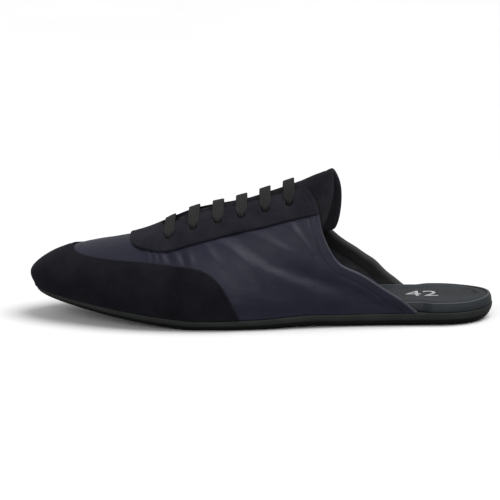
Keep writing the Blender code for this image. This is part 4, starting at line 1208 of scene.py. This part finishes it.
def lace_mesh(paths):
    """Flat woven band along each path: a rounded oblong of 12 points carried along it, closed at both
    ends. The path map holds the length run and the place across, in metres."""
    around = np.linspace(0, 2 * math.pi, 13)[:-1]
    wide = np.sign(np.cos(around)) * np.abs(np.cos(around)) ** 0.35
    thin = np.sign(np.sin(around)) * np.abs(np.sin(around)) ** 0.6
    points, faces, uv, start = [], [], [], 0
    for centres, wides, thins in paths:
        ring = centres[:, None] + wides[:, None] * wide[:, None] + thins[:, None] * thin[:, None]
        run = np.concatenate([[0], np.cumsum(np.linalg.norm(np.diff(centres, axis=0), axis=1))])
        half = np.linalg.norm(wides, axis=1)
        rows = len(centres)
        corner = start + np.arange(rows - 1)[:, None] * 12 + np.arange(12)
        after = start + np.arange(rows - 1)[:, None] * 12 + (np.arange(12) + 1) % 12
        faces.append(np.stack([corner, after, after + 12, corner + 12], axis=-1).reshape(-1, 4))
        pairs = np.arange(1, 6)
        for end in (start, start + 12 * (rows - 1)):
            cap = np.stack([pairs - 1, pairs, 12 - pairs, (13 - pairs) % 12], axis=1) + end
            faces.append(cap)
        points.append(ring.reshape(-1, 3))
        runs = np.broadcast_to(run[:, None], ring.shape[:2])
        uv.append(np.stack([runs, half[:, None] * wide], axis=-1).reshape(-1, 2))
        start += rows * 12
    return np.concatenate(points), np.concatenate(faces), np.concatenate(uv)


def webbing_finish():
    """Flat woven cotton: a herringbone of fine ribs that lean one way and then the other across the
    band."""
    made, tree, shader = finish_of("lace_webbing", {
        "Specular IOR Level": 0.1, "Sheen Weight": 0.06, "Sheen Roughness": 0.6,
        "Sheen Tint": (0.5, 0.5, 0.5, 1)})
    path = path_on(tree)
    fold = sum_of(tree, "PINGPONG", path["Y"], 0.9 * MM)
    lean = sum_of(tree, "MULTIPLY_ADD", fold, 1.1, path["X"])
    rib = sum_of(tree, "SINE", sum_of(tree, "MULTIPLY", lean, 2 * math.pi / (0.62 * MM)))
    look = handled(tree, place_on(tree), (0.0165, 0.0170, 0.0165), (0.0300, 0.0310, 0.0300),
                   90.0, 3000.0, 0.93, 0.78)
    # Painted shade: the troughs of the ribs, where the bump is lowest, are painted darker.
    colour = blend(tree, ramp(tree, rib, -1.0, 1.0), (0.0095, 0.0100, 0.0095, 1), look["Colour"])
    show_on(tree, shader, colour, look["Roughness"])
    first = bump_onto(tree, shader, look["Height"], 0.05 * MM, 0.4)
    bump_onto(tree, shader, rib, 0.10 * MM, 0.7, first)
    return made


lace_rows = FIRST_EYELET - EYELET_PITCH * np.arange(EYELET_ROWS)
lace_paths = [bar_path(row) for row in range(EYELET_ROWS)]
for row in range(EYELET_ROWS - 1):
    lace_paths.append(run_path(1 if row % 2 else -1, np.linspace(lace_rows[row], lace_rows[row + 1], 12)))
lace_paths.append(run_path(1, np.linspace(lace_rows[0], lace_rows[-1], 40), 3.9 * MM))
lace = mesh_piece("lace_flat", *lace_mesh(lace_paths))
lace.data.materials.append(webbing_finish())
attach(lace, "root")
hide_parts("lace")


# Stitching
# Bonded thread in close lock stitches: along the overlay's and the eyestay's edges, beside the
# throat and round the collar's hem.
def tangents(line):
    """Unit directions along a line."""
    along = np.gradient(line, axis=0)
    return along / np.maximum(np.linalg.norm(along, axis=1, keepdims=True), 1e-9)


def stitch_mesh(lines, pitch, radius):
    """Each stitch is an ellipsoid of 8 by 5 points, 82% of the pitch long, sunk at both its ends. All
    are worked out together from places at even runs along each line."""
    around = np.linspace(0, 2 * math.pi, 9)[:-1]
    polar = np.linspace(0, math.pi, 6)
    unit = np.stack([np.cos(polar)[:, None] * np.ones(8), np.sin(polar)[:, None] * np.cos(around),
                     np.sin(polar)[:, None] * np.sin(around)], axis=-1).reshape(-1, 3)
    ring = np.arange(8)
    shell = np.concatenate([np.stack([ring + 8 * k, (ring + 1) % 8 + 8 * k, (ring + 1) % 8 + 8 * k + 8,
                                      ring + 8 * k + 8], axis=1) for k in range(5)])
    points, faces, start = [], [], 0
    for line, normals in lines:
        run = np.concatenate([[0], np.cumsum(np.linalg.norm(np.diff(line, axis=0), axis=1))])
        places = np.arange(pitch / 2, run[-1], pitch)
        centre = np.stack([np.interp(places, run, line[:, k]) for k in range(3)], axis=1)
        up = np.stack([np.interp(places, run, normals[:, k]) for k in range(3)], axis=1)
        ends = [np.stack([np.interp(places + reach, run, line[:, k]) for k in range(3)], axis=1)
                for reach in (0.3 * MM, -0.3 * MM)]
        along = ends[0] - ends[1]
        along /= np.maximum(np.linalg.norm(along, axis=1, keepdims=True), 1e-9)
        up = up - (up * along).sum(axis=1, keepdims=True) * along
        up /= np.linalg.norm(up, axis=1, keepdims=True)
        aside = np.cross(along, up)
        block = (centre[:, None] + along[:, None] * unit[:, :1] * pitch * 0.41
                 + up[:, None] * unit[:, 1:2] * radius + aside[:, None] * unit[:, 2:] * radius)
        points.append(block.reshape(-1, 3))
        offsets = start + np.arange(len(places)) * len(unit)
        faces.append((shell[None] + offsets[:, None, None]).reshape(-1, 4))
        start += len(places) * len(unit)
    return np.concatenate(points), np.concatenate(faces)


def thread_finish(name, colour):
    """Waxed thread: two plies that twist along it, seen as slanted bands."""
    made, tree, shader = finish_of(name, {"Specular IOR Level": 0.4})
    place = place_on(tree)
    twist = node_of(tree, "ShaderNodeTexWave", {"Vector": place, "Scale": 900.0, "Distortion": 1.5},
                    wave_type="BANDS", bands_direction="DIAGONAL")
    dark, light = 0.6 * np.array(colour), 1.4 * np.array(colour)
    look = handled(tree, place, dark, light, 120.0, 4000.0, 0.62, 0.45)
    show_on(tree, shader, look["Colour"], look["Roughness"])
    bump_onto(tree, shader, twist.outputs["Fac"], 0.05 * MM, 0.6)
    return made


def form_line(side, turns, phi, lift):
    """A line on the form with its normals."""
    normal, _ = skin_frame(side, turns, phi)
    return skin_point(side, turns, phi) + normal * lift, normal


def offset_seam(side, turns, phi, towards, distance, lift):
    """A seam beside an edge line: moved in at right angles to the edge, along the form."""
    line, normal = form_line(side, turns, phi, 0.0)
    inward = np.cross(normal, tangents(line)) * towards
    return line + inward * distance + normal * lift, normal


stitched = []
SUEDE_TOP = SEAT_GAP + OVERLAY_THICK - 0.12 * MM
for side in (1, -1):
    turns = guard_turns[side]
    edge, _ = overlay_lines(side, turns)
    keep = (rib_places(turns) < 0.930 * SOLE_LENGTH) & (edge > 0)
    stitched.append(offset_seam(side, turns[keep], edge[keep], side, SEAM_INSET, SUEDE_TOP))
    turns = stay_turns(side)
    lower = line_angle(side, turns, EYESTAY_EDGE)
    keep = (lower - opening_angle(side, turns) > 0.12) | (rib_places(turns) > THROAT_FRONT)
    stitched.append(offset_seam(side, turns[keep], lower[keep], -side, SEAM_INSET, SUEDE_TOP))
    keep = (rib_places(turns) < THROAT_FRONT - 0.2 * MM) & (lower - opening_angle(side, turns) > 0.12)
    throat_edge = opening_angle(side, turns[keep])
    stitched.append(offset_seam(side, turns[keep], throat_edge, side, SEAM_INSET, SUEDE_TOP))
seam_points, seam_faces = stitch_mesh(stitched, 2.6 * MM, 0.24 * MM)
suede_stitches = mesh_piece("suede_stitches", seam_points, seam_faces)
suede_stitches.data.materials.append(thread_finish("navy_thread", (0.011, 0.011, 0.015)))
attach(suede_stitches, "root")

hem = []
for side in (1, -1):
    turns = turns_along(side, COLLAR[side], 260)[6:]
    hem.append(offset_seam(side, turns, opening_angle(side, turns), side, HEM_SEAM, 0.02 * MM))
hem_points, hem_faces = stitch_mesh(hem, 2.4 * MM, 0.22 * MM)
hem_stitches = mesh_piece("hem_stitches", hem_points, hem_faces)
hem_stitches.data.materials.append(bpy.data.materials["navy_thread"])
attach(hem_stitches, "root")


# Studio
# A pale floor, a wide lamp high over the slipper, a softbox in front, and the camera at the outer
# side. To the camera the paper is nearly white, but it throws back less light than it shows.
CAMERA_LIFT, CAMERA_DISTANCE = math.radians(11), 1.6
CAMERA_AIM = Vector((7.45 * MM, 0, 41.7 * MM))


def studio_floor():
    """A sheet of pale paper on the floor plane."""
    half = 6.0
    corners = np.array([[-half, -half, 0], [half, -half, 0], [half, half, 0], [-half, half, 0]]) + SHIFT
    made = mesh_piece("studio_floor", corners, np.array([[0, 1, 2, 3]]), closed=False)
    paper, tree, shader = finish_of("floor_paper", {"Roughness": 0.9, "Specular IOR Level": 0.1})
    look = handled(tree, place_on(tree), (0.90, 0.90, 0.90), (0.93, 0.93, 0.93), 3.0, 200.0, 0.95, 0.9)
    seen = node_of(tree, "ShaderNodeLightPath").outputs["Is Camera Ray"]
    tree.links.new(blend(tree, seen, (0.36, 0.36, 0.36, 1), look["Colour"]), shader.inputs["Base Color"])
    made.data.materials.append(paper)


def softbox(name, place, aim, size, power):
    """A square area lamp that faces a point."""
    lamp = bpy.data.lights.new(name, "AREA")
    lamp.shape, lamp.size, lamp.energy = "SQUARE", size, power
    made = bpy.data.objects.new(name, lamp)
    made.location = place
    made.rotation_euler = (Vector(aim) - Vector(place)).to_track_quat("-Z", "Y").to_euler()
    bpy.context.scene.collection.objects.link(made)


def sky_lamp(name, towards, spread, power):
    """A far lamp with a wide disc, which lights the floor evenly. towards points at the lamp."""
    lamp = bpy.data.lights.new(name, "SUN")
    lamp.angle, lamp.energy = math.radians(spread), power
    made = bpy.data.objects.new(name, lamp)
    made.rotation_euler = Vector(towards).to_track_quat("Z", "Y").to_euler()
    bpy.context.scene.collection.objects.link(made)


studio_floor()
sky_lamp("top_light", (-0.45, 0.10, 1.0), 50, 2.3)
softbox("front_light", (0.55, 1.9, 0.75), (0, 0, 0.04), 1.0, 16)
world = bpy.data.worlds.new("studio_air")
world.use_nodes = True
world.node_tree.nodes["Background"].inputs["Color"].default_value = (1, 1, 1, 1)
world.node_tree.nodes["Background"].inputs["Strength"].default_value = 0.42
bpy.context.scene.world = world
bpy.context.scene.view_settings.view_transform = "Standard"

view = bpy.data.cameras.new("photo_view")
view.lens, view.sensor_width = 184.6, 36
camera = bpy.data.objects.new("photo_view", view)
towards = Vector((0, math.cos(CAMERA_LIFT), math.sin(CAMERA_LIFT)))
camera.location = CAMERA_AIM + towards * CAMERA_DISTANCE
camera.rotation_euler = (CAMERA_AIM - camera.location).to_track_quat("-Z", "Y").to_euler()
bpy.context.scene.collection.objects.link(camera)
bpy.context.scene.camera = camera

bpy.context.view_layer.update()
